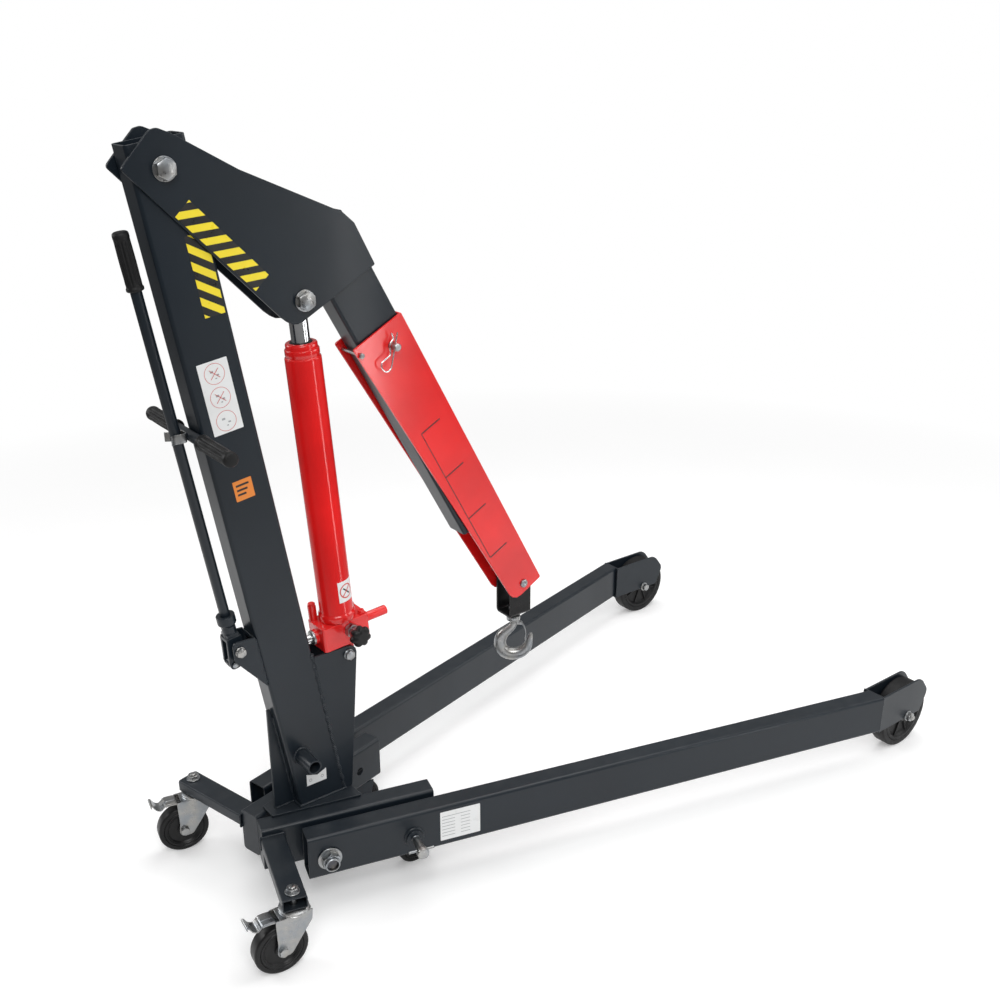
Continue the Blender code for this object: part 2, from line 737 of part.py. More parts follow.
def make_column():
    where = frame(Vector((COLUMN_FOOT_X, 0, 0)), COLUMN_FORE, Y_AXIS)
    half_d, half_w = COLUMN_DEPTH / 2, COLUMN_HALF_WIDTH
    outer = rectangle(-half_d, half_d, -half_w, half_w, 0.006)
    inset = COLUMN_WALL
    bore = rectangle(inset - half_d, half_d - inset, inset - half_w, half_w - inset, 0.003, 2)
    column = prism(outer, 0.0, COLUMN_LENGTH, where, (bore,))
    foot = Vector((0, 0, COLUMN_BOTTOM_Z))
    column = slide_end(column, -COLUMN_UP, -0.7, foot, Z_AXIS)
    column = cut(
        column,
        rod(-0.05, 0.05, BOOM_BOLT_R + SHAFT_GAP, across(boom_point(0, 0))),
        rod(-0.05, 0.05, STOW_R + SHAFT_GAP, across(Vector((STOW_X, 0, STOW_Z)))),
        column_box(-half_d, 0.020, 0.455, 0.548),
        column_box(half_d, 0.012, 0.488, 0.522),
    )
    add("column", column, DARK_PAINT)


def make_gusset():
    low, high, rear = COLUMN_BOTTOM_Z, 0.385, -0.043
    outline = (
        (rear, low), (column_face(low, False) - 2 * GAP, low),
        (column_face(high, False) - 2 * GAP, high), (rear, high),
    )
    add("column_gusset", side_prism(outline, -0.003, 0.003), DARK_PAINT)


def make_ram_bracket():
    low, high, sheet = COLUMN_BOTTOM_Z, 0.4765, 0.005
    outline = rounded((
        (column_face(low, True) + 2 * GAP, low), (0.113, low), (0.139, high, 0.016),
        (column_face(high, True) + 2 * GAP, high),
    ))
    inside = (
        (column_face(0.0, True) + sheet, 0.0), (0.30, 0.0), (0.30, 0.60),
        (column_face(0.60, True) + sheet, 0.60),
    )
    bracket = cut(
        side_prism(outline, -0.0265, 0.0265),
        side_prism(inside, -0.0215, 0.0215),
        rod(-0.05, 0.05, RAM_BOLT_R + SHAFT_GAP, across(RAM_FOOT_POINT)),
    )
    add("ram_bracket", bracket, DARK_PAINT)


def make_stow_tube():
    where = across(Vector((STOW_X, 0, STOW_Z)))
    bore = circle(0, 0, STOW_BORE)
    tube = prism(circle(0, 0, STOW_R), -STOW_HALF, STOW_HALF, where, (bore,))
    add("stow_tube", tube, DARK_PAINT)


def make_lever_bracket():
    low, high, sheet = 0.450, 0.554, 0.003
    outline = rounded((
        (column_face(high, False) - 2 * GAP, high), (-0.107, high + 0.002, 0.008),
        (-0.105, 0.519, 0.008), (column_face(low, False) - 2 * GAP, low),
    ))
    inside = (
        (column_face(0.40, False) - sheet, 0.40), (column_face(0.60, False) - sheet, 0.60),
        (-0.20, 0.60), (-0.20, 0.40),
    )
    window = rectangle(-0.20, 0.0, 0.4585, 0.5445)
    bracket = cut(
        side_prism(outline, -COLUMN_HALF_WIDTH, COLUMN_HALF_WIDTH),
        side_prism(inside, -0.0225, 0.0225),
        side_prism(window, -0.0170, 0.0170),
        rod(-0.05, 0.05, LEVER_BOLT_R + SHAFT_GAP, across(LEVER_PIVOT_POINT)),
    )
    add("lever_bracket", bracket, DARK_PAINT)


def bolt_across(half, radius, hex_half, washer, head, nut):
    """A bolt along Y through plates whose outer faces are half from the centre plane."""
    face = half + GAP
    return (
        (-face - 0.0022 - head, hex_half, "hex"),
        (-face - 0.0022, hex_half, "hex"),
        (-face - 0.0022, washer, "round"),
        (-face, washer, "round"),
        (-face, radius, "round"),
        (face, radius, "round"),
        (face, washer, "round"),
        (face + 0.0022, washer, "round"),
        (face + 0.0022, hex_half, "hex"),
        (face + 0.0022 + nut, hex_half, "hex"),
        (face + 0.0022 + nut, radius * 0.92, "round"),
        (face + 0.0062 + nut, radius * 0.92, "round"),
    )


def make_pivot_bolts():
    boom_bolt = bolt_across(BOOM_PLATE_Y[1], BOOM_BOLT_R, 0.0120, 0.0185, 0.0100, 0.0130)
    add("boom_pivot_bolt", stack(boom_bolt, across(boom_point(0, 0))), ZINC)
    foot_bolt = bolt_across(0.0265, RAM_BOLT_R, 0.0085, 0.0105, 0.0070, 0.0085)
    add("ram_base_bolt", stack(foot_bolt, across(RAM_FOOT_POINT)), ZINC)
    lever_bolt = bolt_across(COLUMN_HALF_WIDTH, LEVER_BOLT_R, 0.0080, 0.0095, 0.0060, 0.0080)
    add("lever_pivot_bolt", stack(lever_bolt, across(LEVER_PIVOT_POINT), SMALL_ROUND), ZINC)


def make_push_bar():
    x, z = PUSH_BAR
    bar = rod(-PUSH_BAR_HALF, PUSH_BAR_HALF, PUSH_BAR_R, across(Vector((x, 0, z))))
    back = x - 0.0355
    path = (
        (back, 0.0107), (x - 0.0090, 0.0107), (x - 0.0090, -0.0107), (back, -0.0107),
    )
    clip = prism(ribbon(path, 0.0025), z - 0.008, z + 0.008, PLAN)
    add("push_bar", union(bar, clip), DARK_PAINT)
    start, end = 0.050, 0.158
    bore = PUSH_BAR_R + SHAFT_GAP
    profile = (
        (0.0, PUSH_BAR_HALF + GAP), (bore, PUSH_BAR_HALF + GAP), (bore, start),
        (0.0135, start), (0.0135, start + 0.004), (0.0120, start + 0.006),
        (0.0115, (start + end) / 2), (0.0120, end - 0.006), (0.0110, end - 0.001), (0.0, end),
    )
    add_pair("push_grip", turned(profile, across(Vector((x, 0, z))), 20), RUBBER)


# Boom and hook

def make_boom():
    outline = rounded((
        (-0.033, -0.056, 0.006), (-0.041, -0.034, 0.010), (-0.056, 0.011, 0.008),
        (-0.053, 0.023, 0.010), (-0.035, 0.038, 0.010), (0.062, 0.100), (0.214, 0.219),
        (0.240, 0.2285, 0.012), (0.3205, 0.2265, 0.003), (0.3225, 0.125), (0.323, 0.047, 0.025),
        (0.294, 0.035, 0.010),
    ))
    holes = (
        circle(0, 0, BOOM_BOLT_R + SHAFT_GAP),
        circle(*RAM_EYE_UV, BOOM_BOLT_R + SHAFT_GAP),
    )
    plate = side_prism(outline, *BOOM_PLATE_Y, BOOM_SIDE, holes)
    add_pair("boom_plate", plate, DARK_PAINT)
    middle_v = sum(BOOM_TUBE_V) / 2
    half_v = (BOOM_TUBE_V[1] - BOOM_TUBE_V[0]) / 2
    half_y, wall = COLUMN_HALF_WIDTH, BOOM_TUBE_WALL
    where = frame(boom_point(0, middle_v), Y_AXIS, BOOM_V)
    outer = rectangle(-half_y, half_y, -half_v, half_v, 0.006)
    bore = rectangle(wall - half_y, half_y - wall, wall - half_v, half_v - wall)
    tube = prism(outer, *BOOM_TUBE_U, where, (bore,))
    pin_u, pin_v = EXTENSION_PIN_UV
    slot_half = EXTENSION_PIN_R + SHAFT_GAP
    last = pin_u + EXTENSION_STEPS * EXTENSION_STEP
    slot = rectangle(
        pin_u - slot_half, last + slot_half, pin_v - slot_half, pin_v + slot_half, slot_half * 0.99
    )
    tube = cut(tube, side_prism(slot, -0.05, 0.05, BOOM_SIDE))
    for step in range(EXTENSION_STEPS + 1):
        hole = circle(pin_u + step * EXTENSION_STEP, pin_v, slot_half + 0.0008)
        tube = cut(tube, side_prism(hole, -0.05, 0.05, BOOM_SIDE))
    add("boom_tube", tube, DARK_PAINT, boom_point(0, middle_v))


def make_ram_pivot_stubs():
    low, high = BOOM_PLATE_Y
    sections = (
        (low - GAP, BOOM_BOLT_R, "round"),
        (high + GAP, BOOM_BOLT_R, "round"),
        (high + GAP, 0.0180, "round"),
        (high + 0.0028, 0.0180, "round"),
        (high + 0.0028, 0.0120, "hex"),
        (high + 0.0125, 0.0120, "hex"),
    )
    add_pair("ram_pivot_stub", stack(sections, across(RAM_EYE_POINT)), ZINC)


def make_extension():
    half = BOOM_PLATE_Y[1]
    start, end = EXTENSION_U
    outline = rounded((
        (start, 0.1145, 0.004), (end, 0.148, 0.022),
        (end, EXTENSION_TOP, 0.004), (start, EXTENSION_TOP, 0.002),
    ))
    inside = rectangle(start - 0.1, end + 0.1, 0.0, BOOM_TUBE_V[1] + GAP)
    inner = EXTENSION_INNER_HALF
    holes = (
        circle(*EXTENSION_PIN_UV, EXTENSION_PIN_R + SHAFT_GAP),
        circle(*EXTENSION_BOLT_UV, EXTENSION_BOLT_R + SHAFT_GAP, SMALL_ROUND),
        circle(*HOOK_PIN_UV, HOOK_PIN_R + SHAFT_GAP),
    )
    shape = side_prism(outline, -half, half, BOOM_SIDE, holes)
    shape = cut(shape, side_prism(inside, -inner, inner, BOOM_SIDE))
    add("boom_extension", shape, RED_PAINT, boom_point(0, sum(BOOM_TUBE_V) / 2))
    pin_point = boom_point(*EXTENSION_PIN_UV)
    sections = (
        (-half - 0.0215, EXTENSION_PIN_R - 0.001, "round"),
        (-half - 0.0200, EXTENSION_PIN_R, "round"),
        (half + GAP, EXTENSION_PIN_R, "round"),
        (half + GAP, 0.0105, "round"),
        (half + 0.0050, 0.0105, "round"),
    )
    clip_y = -half - 0.0100
    clip_where = frame(Vector((pin_point.x, clip_y, pin_point.z)), X_AXIS, Z_AXIS)
    straight = swept(((0.0062, 0.026, 0), (-0.0066, -0.026, 0)), (0.0018, 0.0018), clip_where)
    pin = cut(stack(sections, across(pin_point)), straight)
    add("extension_pin", pin, ZINC)
    path = (
        (0.0060, 0.0247), (0.0, 0.0), (-0.0060, -0.0250), (-0.0085, -0.0350), (-0.0125, -0.0405),
        (-0.0180, -0.0425), (-0.0240, -0.0400), (-0.0280, -0.0340), (-0.0285, -0.0280),
        (-0.0265, -0.0235), (-0.0120, -0.0150), (-0.0095, -0.0100), (-0.0103, -0.0030),
        (-0.0103, 0.0040), (-0.0080, 0.0090), (-0.0032, 0.0140), (-0.0030, 0.0170),
        (-0.0064, 0.0250),
    )
    wire = swept([(u, v, 0) for u, v in path], [0.0014] * len(path), clip_where)
    add("retaining_clip", wire, CHROME)
    bolt_sections = (
        (-half - 0.0045, 0.0045, "hex"),
        (-half - GAP, 0.0045, "hex"),
        (-half - GAP, EXTENSION_BOLT_R, "round"),
        (half + GAP, EXTENSION_BOLT_R, "round"),
        (half + GAP, 0.0045, "hex"),
        (half + 0.0045, 0.0045, "hex"),
    )
    bolt_where = across(boom_point(*EXTENSION_BOLT_UV))
    add("extension_bolt", stack(bolt_sections, bolt_where, 12), ZINC)
    hook_sections = (
        (-half - 0.0048, 0.0070, "round"),
        (-half - 0.0030, 0.0088, "round"),
        (-half - GAP, 0.0088, "round"),
        (-half - GAP, HOOK_PIN_R, "round"),
        (half + GAP, HOOK_PIN_R, "round"),
        (half + GAP, 0.0088, "round"),
        (half + 0.0030, 0.0088, "round"),
        (half + 0.0048, 0.0070, "round"),
    )
    add("hook_pin", stack(hook_sections, across(HOOK_PIN_POINT)), ZINC)


def make_hook():
    pin_x, pin_z = HOOK_PIN_POINT.x, HOOK_PIN_POINT.z
    block_half, block_bottom = 0.0265, 0.413
    arch = [math.radians(turn) for turn in range(0, 181, 15)]
    outline = rounded((
        (pin_x - block_half, block_bottom + 0.006, 0.004),
        (pin_x - 0.012, block_bottom), (pin_x + 0.012, block_bottom),
        (pin_x + block_half, block_bottom + 0.006, 0.004),
    ))
    outline += [
        (pin_x + block_half * math.cos(turn), pin_z + block_half * math.sin(turn)) for turn in arch
    ]
    block = side_prism(outline, -0.0250, 0.0250)
    bore = rod(0.30, 0.447, 0.0060 + SHAFT_GAP, HOOK_AXIS)
    block = cut(block, bore, rod(-0.05, 0.05, HOOK_PIN_R + SHAFT_GAP, across(HOOK_PIN_POINT)))
    add("hook_block", block, PLASTIC, HOOK_PIN_POINT)
    shank = (
        (0.3800, 0.0050, "round"),
        (0.3850, 0.0070, "round"),
        (0.3920, 0.0083, "round"),
        (0.3920, 0.0145, "round"),
        (0.4030, 0.0145, "round"),
        (0.4030, 0.0060, "round"),
        (0.4440, 0.0060, "round"),
    )
    path = (
        (0.0010, 0.3880), (-0.0010, 0.3790), (-0.0090, 0.3700), (-0.0190, 0.3610),
        (-0.0260, 0.3500), (-0.0283, 0.3380), (-0.0262, 0.3260), (-0.0195, 0.3165),
        (-0.0090, 0.3112), (0.0030, 0.3105), (0.0145, 0.3135), (0.0235, 0.3195),
        (0.0295, 0.3275), (0.0330, 0.3370), (0.0352, 0.3470), (0.0372, 0.3560), (0.0380, 0.3600),
    )
    radii = (
        0.0070, 0.0078, 0.0093, 0.0110, 0.0122, 0.0128, 0.0130, 0.0131, 0.0132,
        0.0131, 0.0125, 0.0114, 0.0100, 0.0082, 0.0062, 0.0040, 0.0025,
    )
    bowl = swept([(u, v, 0) for u, v in path], radii, HOOK_SIDE)
    lug_u, lug_z = 0.0132, 0.3855
    ear = rounded((
        (0.0, 0.3810), (lug_u, 0.3805, 0.0040), (lug_u + 0.0045, 0.3860, 0.0040),
        (lug_u, 0.3905, 0.0040), (0.0, 0.3905),
    ), 3)
    hook = union(stack(shank, HOOK_AXIS), bowl, prism(ear, -0.0025, 0.0025, HOOK_SIDE))
    pin_where = frame(HOOK_FOOT + HOOK_U * lug_u + Z_AXIS * lug_z, HOOK_U, Z_AXIS)
    hook = cut(hook, rod(-0.02, 0.02, 0.0018, pin_where, SMALL_ROUND))
    add("hook", hook, ZINC, (pin_x, 0, 0.3980))
    strap = (
        (lug_u + 0.0010, lug_z + 0.0020), (0.0205, 0.3805), (0.0250, 0.3710),
        (0.0270, 0.3600), (0.0262, 0.3500), (0.0250, 0.3450),
    )
    latch = prism(ribbon(strap, 0.0016), -0.0044, 0.0044, HOOK_SIDE)
    slot = rectangle(lug_u - 0.02, lug_u + 0.0062, 0.35, 0.42)
    cheek = circle(lug_u, lug_z, 0.0042, SMALL_ROUND)
    latch = union(
        latch,
        prism(cheek, 0.0029, 0.0044, HOOK_SIDE),
        prism(cheek, -0.0044, -0.0029, HOOK_SIDE),
    )
    latch = cut(latch, prism(slot, -0.0029, 0.0029, HOOK_SIDE))
    latch = union(latch, rod(-0.0040, 0.0040, 0.0015, pin_where, SMALL_ROUND))
    add("hook_latch", latch, ZINC, HOOK_FOOT + HOOK_U * lug_u + Z_AXIS * lug_z)


# Ram

def ram_rod_across(fore, up, low, high, radius, steps=ROUND):
    point = RAM_FOOT_POINT + RAM_FORE * fore + RAM_UP * up
    return rod(low, high, radius, across(point), steps)


def ram_fore_rod(up, y, low, high, radius):
    """A round bar along the ram's fore direction, between two fore distances."""
    origin = RAM_FOOT_POINT + RAM_UP * up + Y_AXIS * y
    return rod(low, high, radius, frame(origin, Y_AXIS, RAM_UP))


def ram_upright(fore, y, low, high, radius):
    origin = RAM_FOOT_POINT + RAM_FORE * fore + Y_AXIS * y
    return rod(low, high, radius, frame(origin, RAM_FORE, Y_AXIS), SMALL_ROUND)


def make_ram():
    low, high = RAM_BLOCK_W
    block = prism(rectangle(-0.048, 0.050, -0.030, 0.030, 0.006), low, high, RAM_AXIS)
    lug = rounded((
        (-0.0165, 0.030), (-0.0165, -0.0165, 0.0160), (0.0165, -0.0165, 0.0160), (0.0165, 0.030),
    ))
    block = union(
        block,
        side_prism(lug, -0.0205, 0.0205, RAM_SIDE),
        ram_fore_rod(PLUNGER_W, 0, -0.058, -0.044, 0.0140),
        ram_fore_rod(0.058, -0.020, 0.046, 0.092, 0.0090),
        ram_upright(-0.0395, 0.0205, 0.066, 0.100, 0.0080),
        ram_upright(0.040, 0.018, 0.066, 0.075, 0.0050),
        ram_upright(0.040, -0.018, 0.066, 0.075, 0.0050),
    )
    knob_fore, knob_up = KNOB_FW
    block = cut(
        block,
        ram_rod_across(0, 0, -0.05, 0.05, RAM_BOLT_R + SHAFT_GAP),
        ram_fore_rod(PLUNGER_W, 0, -0.080, -0.004, PLUNGER_R + SHAFT_GAP),
        ram_rod_across(knob_fore, knob_up, -0.050, -0.0180, 0.0053),
    )
    add("ram_base", block, RED_PAINT, RAM_FOOT_POINT)
    start, top = RAM_BLOCK_W[1] + GAP, RAM_TOP_W
    profile = (
        (0.0, start), (0.0330, start), (0.0345, start + 0.003), (0.0345, start + 0.013),
        (RAM_BODY_R, start + 0.017), (RAM_BODY_R, top - 0.026), (0.0295, top - 0.024),
        (0.0295, top - 0.012), (0.0275, top - 0.010), (0.0275, top - 0.002),
        (0.0260, top), (ROD_R + SHAFT_GAP, top), (ROD_R + SHAFT_GAP, top - 0.028),
        (0.0250, top - 0.028), (0.0250, start + 0.010), (0.0, start + 0.010),
    )
    add("ram_cylinder", turned(profile, RAM_AXIS, 28), RED_PAINT, RAM_FOOT_POINT)
    sections = (
        (ROD_START_W, 0.0247, "round"),
        (ROD_START_W + 0.025, 0.0247, "round"),
        (ROD_START_W + 0.025, ROD_R, "round"),
        (RAM_LENGTH - 0.008, ROD_R, "round"),
    )
    eye = ram_rod_across(0, RAM_LENGTH, -0.024, 0.024, 0.0220)
    bar = union(stack(sections, RAM_AXIS), eye)
    bar = cut(bar, ram_rod_across(0, RAM_LENGTH, -0.05, 0.05, BOOM_BOLT_R + SHAFT_GAP))
    add("ram_rod", bar, CHROME, RAM_EYE_POINT)
    make_release_knob(knob_fore, knob_up)
    make_plunger()


def make_release_knob(fore, up):
    point = RAM_FOOT_POINT + RAM_FORE * fore + RAM_UP * up
    where = across(point)
    lobes = []
    for step in range(36):
        turn = 2 * math.pi * step / 36
        reach = 0.0192 + 0.0018 * math.cos(6 * turn)
        lobes.append((reach * math.cos(turn), reach * math.sin(turn)))
    sections = (
        (-0.0620, 0.0110, "round"),
        (-0.0565, 0.0110, "round"),
        (-0.0565, 0.0060, "round"),
        (-0.0460, 0.0060, "round"),
        (-0.0460, 0.0110, "hex"),
        (-0.0304, 0.0110, "hex"),
        (-0.0304, 0.0050, "round"),
        (-0.0190, 0.0050, "round"),
    )
    knob = union(stack(sections, where), prism(lobes, -0.0770, -0.0590, where))
    add("release_knob", knob, PLASTIC, point - Y_AXIS * 0.0680)


def make_plunger():
    origin = RAM_FOOT_POINT + RAM_UP * PLUNGER_W
    where = frame(origin, Y_AXIS, RAM_UP)
    sections = (
        (-0.0800, 0.0055, "round"),
        (-0.0785, PLUNGER_R, "round"),
        (-0.0300, PLUNGER_R, "round"),
    )
    add("pump_plunger", stack(sections, where, 20), CHROME, origin - RAM_FORE * 0.080)


# Pump lever

def make_lever():
    pin_offset = LINK_PIN_POINT - LEVER_PIVOT_POINT
    pin_u, pin_v = pin_offset.dot(LEVER_FORE), pin_offset.dot(LEVER_UP)
    cheek = rounded((
        (-0.0136, 0.024), (-0.0195, pin_v + 0.004, 0.006), (-0.0180, pin_v - 0.009, 0.007),
        (-0.0020, pin_v - 0.009, 0.007), (0.0136, -0.008, 0.008), (0.0136, 0.024),
    ))
    joined = rectangle(-0.0110, 0.0110, 0.0160, 0.0310)
    socket = side_prism(cheek, -0.0140, 0.0140, LEVER_SIDE)
    gap = rectangle(-0.05, 0.05, -0.08, 0.0180)
    socket = cut(socket, side_prism(gap, -0.0083, 0.0083, LEVER_SIDE))
    sections = (
        (0.0190, 0.0125, "round"),
        (0.0450, 0.0125, "round"),
        (0.0500, 0.0165, "round"),
        (0.0660, 0.0165, "round"),
    )
    link_pin = rod(-0.0100, 0.0100, LINK_PIN_R, across(LINK_PIN_POINT), SMALL_ROUND)
    socket = union(
        socket,
        side_prism(joined, -0.0130, 0.0130, LEVER_SIDE),
        stack(sections, LEVER_AXIS),
    )
    socket = cut(
        socket,
        rod(-0.05, 0.05, LEVER_BOLT_R + SHAFT_GAP, across(LEVER_PIVOT_POINT), SMALL_ROUND),
        rod(0.0270, 0.10, LEVER_TUBE_R + SHAFT_GAP, LEVER_AXIS),
    )
    add("lever_socket", union(socket, link_pin), DARK_PAINT, LEVER_PIVOT_POINT)
    tube = rod(0.0275, 0.7300, LEVER_TUBE_R, LEVER_AXIS, 20)
    add("lever_tube", tube, DARK_PAINT, LEVER_PIVOT_POINT)
    bore = LEVER_TUBE_R + SHAFT_GAP
    profile = (
        (0.0, 0.7304), (bore, 0.7304), (bore, 0.6480), (0.0135, 0.6480), (0.0135, 0.6530),
        (0.0120, 0.6560), (0.0120, 0.7240), (0.0128, 0.7270), (0.0128, 0.7330),
        (0.0110, 0.7370), (0.0, 0.7380),
    )
    add("lever_grip", turned(profile, LEVER_AXIS, 20), RUBBER, LEVER_PIVOT_POINT)


def make_pump_link():
    pin_x, pin_z = LINK_PIN
    end = RAM_FOOT_POINT + RAM_UP * PLUNGER_W - RAM_FORE * 0.080
    tip_x = end.x - 0.0018
    outline = rounded((
        (tip_x, end.z - 0.006, 0.002), (tip_x, end.z + 0.006, 0.002),
        (pin_x + 0.006, pin_z + 0.008, 0.004), (pin_x - 0.009, pin_z + 0.008, 0.007),
        (pin_x - 0.009, pin_z - 0.008, 0.007), (pin_x + 0.006, pin_z - 0.008, 0.004),
    ))
    hole = circle(pin_x, pin_z, LINK_PIN_R + SHAFT_GAP, SMALL_ROUND)
    link = side_prism(outline, -0.0060, 0.0060, SIDE, (hole,))
    add("pump_link", link, DARK_PAINT, LINK_PIN_POINT)


make_rails()
make_base_plate()
make_legs()
make_hinge_bolts()
make_lock_pins()
make_leg_forks()
make_leg_wheels()
make_mid_wheels()
make_caster_arms()
make_casters()
make_column()
make_gusset()
make_ram_bracket()
make_stow_tube()
make_lever_bracket()
make_pivot_bolts()
make_push_bar()
make_boom()
make_ram_pivot_stubs()
make_extension()
make_hook()
make_ram()
make_lever()
make_pump_link()
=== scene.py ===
"""Looks of a folding engine hoist crane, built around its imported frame.

Metres, +Z up, in the frame's own coordinates. Places come from the record's joints and from the
boxes of the nodes. Square tubes and plates keep their frame solids, with softened edges; turned,
forged and moulded parts, welds, threads and stickers are built here and ride the frame's bodies.
"""
import json
import math

import bmesh
import bpy
from mathutils import Matrix, Vector


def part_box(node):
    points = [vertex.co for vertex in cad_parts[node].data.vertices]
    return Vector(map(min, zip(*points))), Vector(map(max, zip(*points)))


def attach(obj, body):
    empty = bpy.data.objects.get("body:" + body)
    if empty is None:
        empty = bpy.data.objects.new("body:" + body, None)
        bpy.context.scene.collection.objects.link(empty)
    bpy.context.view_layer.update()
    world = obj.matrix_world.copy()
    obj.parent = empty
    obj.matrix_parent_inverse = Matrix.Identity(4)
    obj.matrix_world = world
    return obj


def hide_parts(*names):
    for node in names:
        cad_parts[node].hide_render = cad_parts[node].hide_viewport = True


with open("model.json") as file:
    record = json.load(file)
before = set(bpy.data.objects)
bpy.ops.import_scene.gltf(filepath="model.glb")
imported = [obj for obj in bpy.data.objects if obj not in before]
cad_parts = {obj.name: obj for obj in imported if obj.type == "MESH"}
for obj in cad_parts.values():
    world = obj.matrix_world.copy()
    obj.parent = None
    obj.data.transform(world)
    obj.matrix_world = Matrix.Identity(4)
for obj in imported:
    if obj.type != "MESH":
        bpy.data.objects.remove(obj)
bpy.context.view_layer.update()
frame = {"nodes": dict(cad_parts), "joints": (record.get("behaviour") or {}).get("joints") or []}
JOINTS = {joint["name"]: joint for joint in frame["joints"]}

X_AXIS = Vector((1, 0, 0))
Y_AXIS = Vector((0, 1, 0))
Z_AXIS = Vector((0, 0, 1))
MIRROR = Matrix.Scale(-1, 4, Y_AXIS)
ORIGIN = Vector((0, 0, 0))


# Places, all read from the frame

def pivot(joint):
    return Vector(JOINTS[joint]["pos_m"])


def axis(joint):
    return Vector(JOINTS[joint]["axis"]).normalized()


def middle(node):
    low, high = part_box(node)
    return (low + high) / 2


def placed(origin, u_axis, v_axis):
    """A matrix from drawing coordinates (u, v, w) to the crane, with w = u x v."""
    turn = Matrix((u_axis, v_axis, u_axis.cross(v_axis))).transposed().to_4x4()
    return Matrix.Translation(origin) @ turn


def across(point):
    """A frame whose w axis runs along +Y through a point of the centre plane."""
    return placed(Vector((point.x, 0, point.z)), Z_AXIS, X_AXIS)


# Clearance between a piece built here and the face that it stands on
GAP = 0.0003

# Sizes of the frame's stock
TUBE_WIDTH = 0.045
TUBE_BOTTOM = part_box("leg_left")[0].z
RAIL_OUTER = 0.059
RAIL_INNER = 0.104
COLUMN_LEAN = math.radians(9.23)
COLUMN_HALF_DEPTH = 0.0477
COLUMN_HALF_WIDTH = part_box("column")[1].y
BOOM_PLATE_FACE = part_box("boom_plate_left")[1].y
EXTENSION_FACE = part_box("boom_extension")[1].y

# Legs: along the left one, and out of its outer face
OUT = axis("lock_pin_slide_left")
ALONG = Vector((OUT.y, -OUT.x, 0))
HINGE = pivot("leg_fold_left")
PIN_ALONG = 0.165


def leg_point(along, offset, height):
    """A point by its distance along the left leg and in from its outer face."""
    point = HINGE + ALONG * along - OUT * (offset - TUBE_WIDTH / 2)
    return Vector((point.x, point.y, height))


def outwards(along, height):
    """A frame whose w axis runs out of the left leg, from its outer face."""
    return placed(leg_point(along, 0, height), Z_AXIS, ALONG)


# Column: w runs up it from the floor, u forward, v to the left
COLUMN_UP = Vector((-math.sin(COLUMN_LEAN), 0, math.cos(COLUMN_LEAN)))
COLUMN_FORE = Vector((math.cos(COLUMN_LEAN), 0, math.sin(COLUMN_LEAN)))
COLUMN_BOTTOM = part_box("column")[0].z
COLUMN_FRONT_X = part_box("column")[1].x + COLUMN_BOTTOM * math.tan(COLUMN_LEAN)
COLUMN_FOOT_X = COLUMN_FRONT_X - COLUMN_HALF_DEPTH / math.cos(COLUMN_LEAN)
COLUMN = placed(Vector((COLUMN_FOOT_X, 0, 0)), COLUMN_FORE, Y_AXIS)
NEAR_SIDE = placed(Vector((COLUMN_FOOT_X, 0, 0)), COLUMN_FORE, COLUMN_UP)

# Boom: u along the tube from the pivot, v square to it, w towards the near side
BOOM_U = axis("boom_extend")
BOOM_V = Vector((-BOOM_U.z, 0, BOOM_U.x))
BOOM_PIVOT = pivot("boom_lift")
BOOM = placed(BOOM_PIVOT, BOOM_U, BOOM_V)

# Ram: w up it from its base bolt, u forward
RAM_FOOT = pivot("ram_tilt")
RAM_UP = axis("ram_stroke")
RAM_FORE = Vector((RAM_UP.z, 0, -RAM_UP.x))
RAM = placed(RAM_FOOT, RAM_FORE, Y_AXIS)
PLUNGER_UP = 0.047
RAM_LENGTH = (middle("ram_pivot_stub_left") - RAM_FOOT).dot(RAM_UP)

# Lever: w up it from its pivot
LEVER_PIVOT = pivot("pump_lever")
LEVER_TILT = math.radians(8.98)
LEVER_FORE = Vector((math.cos(LEVER_TILT), 0, math.sin(LEVER_TILT)))
LEVER = placed(LEVER_PIVOT, LEVER_FORE, Y_AXIS)

# Hook: u towards its point, v up from the floor, square to the latch's axle
HOOK_PIN = pivot("hook_swing")
HOOK_AXLE = axis("hook_latch_open")
HOOK_U = Vector((HOOK_AXLE.y, -HOOK_AXLE.x, 0))
HOOK_FOOT = Vector((HOOK_PIN.x, 0, 0))
HOOK = placed(HOOK_FOOT, HOOK_U, Z_AXIS)
HOOK_AXIS = placed(HOOK_FOOT, X_AXIS, Y_AXIS)


# Materials

def set_sockets(tree, made, sockets):
    """Sets a node's inputs to values, or links them to the outputs of other nodes."""
    for key, value in sockets.items():
        if isinstance(value, bpy.types.NodeSocket):
            tree.links.new(value, made.inputs[key])
        else:
            made.inputs[key].default_value = value


def node(tree, kind, sockets=None, **settings):
    """A new shader node with its settings and inputs."""
    made = tree.nodes.new("ShaderNode" + kind)
    for key, value in settings.items():
        setattr(made, key, value)
    set_sockets(tree, made, sockets or {})
    return made


def noise(tree, scale, detail=3.0, stretch=(1, 1, 1)):
    """Noise over the object's own coordinates, in features per metre."""
    place = node(tree, "TexCoord").outputs["Object"]
    mapped = node(tree, "Mapping", {"Vector": place, "Scale": stretch}).outputs[0]
    return node(tree, "TexNoise", {"Vector": mapped, "Scale": scale, "Detail": detail}).outputs[0]


def ranged(tree, value, low, high, to_low, to_high):
    sockets = {"Value": value, 1: low, 2: high, 3: to_low, 4: to_high}
    return node(tree, "MapRange", sockets).outputs[0]


def times(tree, one, other):
    return node(tree, "Math", {0: one, 1: other}, operation="MULTIPLY").outputs[0]


def blended(tree, amount, first, second):
    sockets = {0: amount, 6: first, 7: second}
    return node(tree, "Mix", sockets, data_type="RGBA").outputs[2]


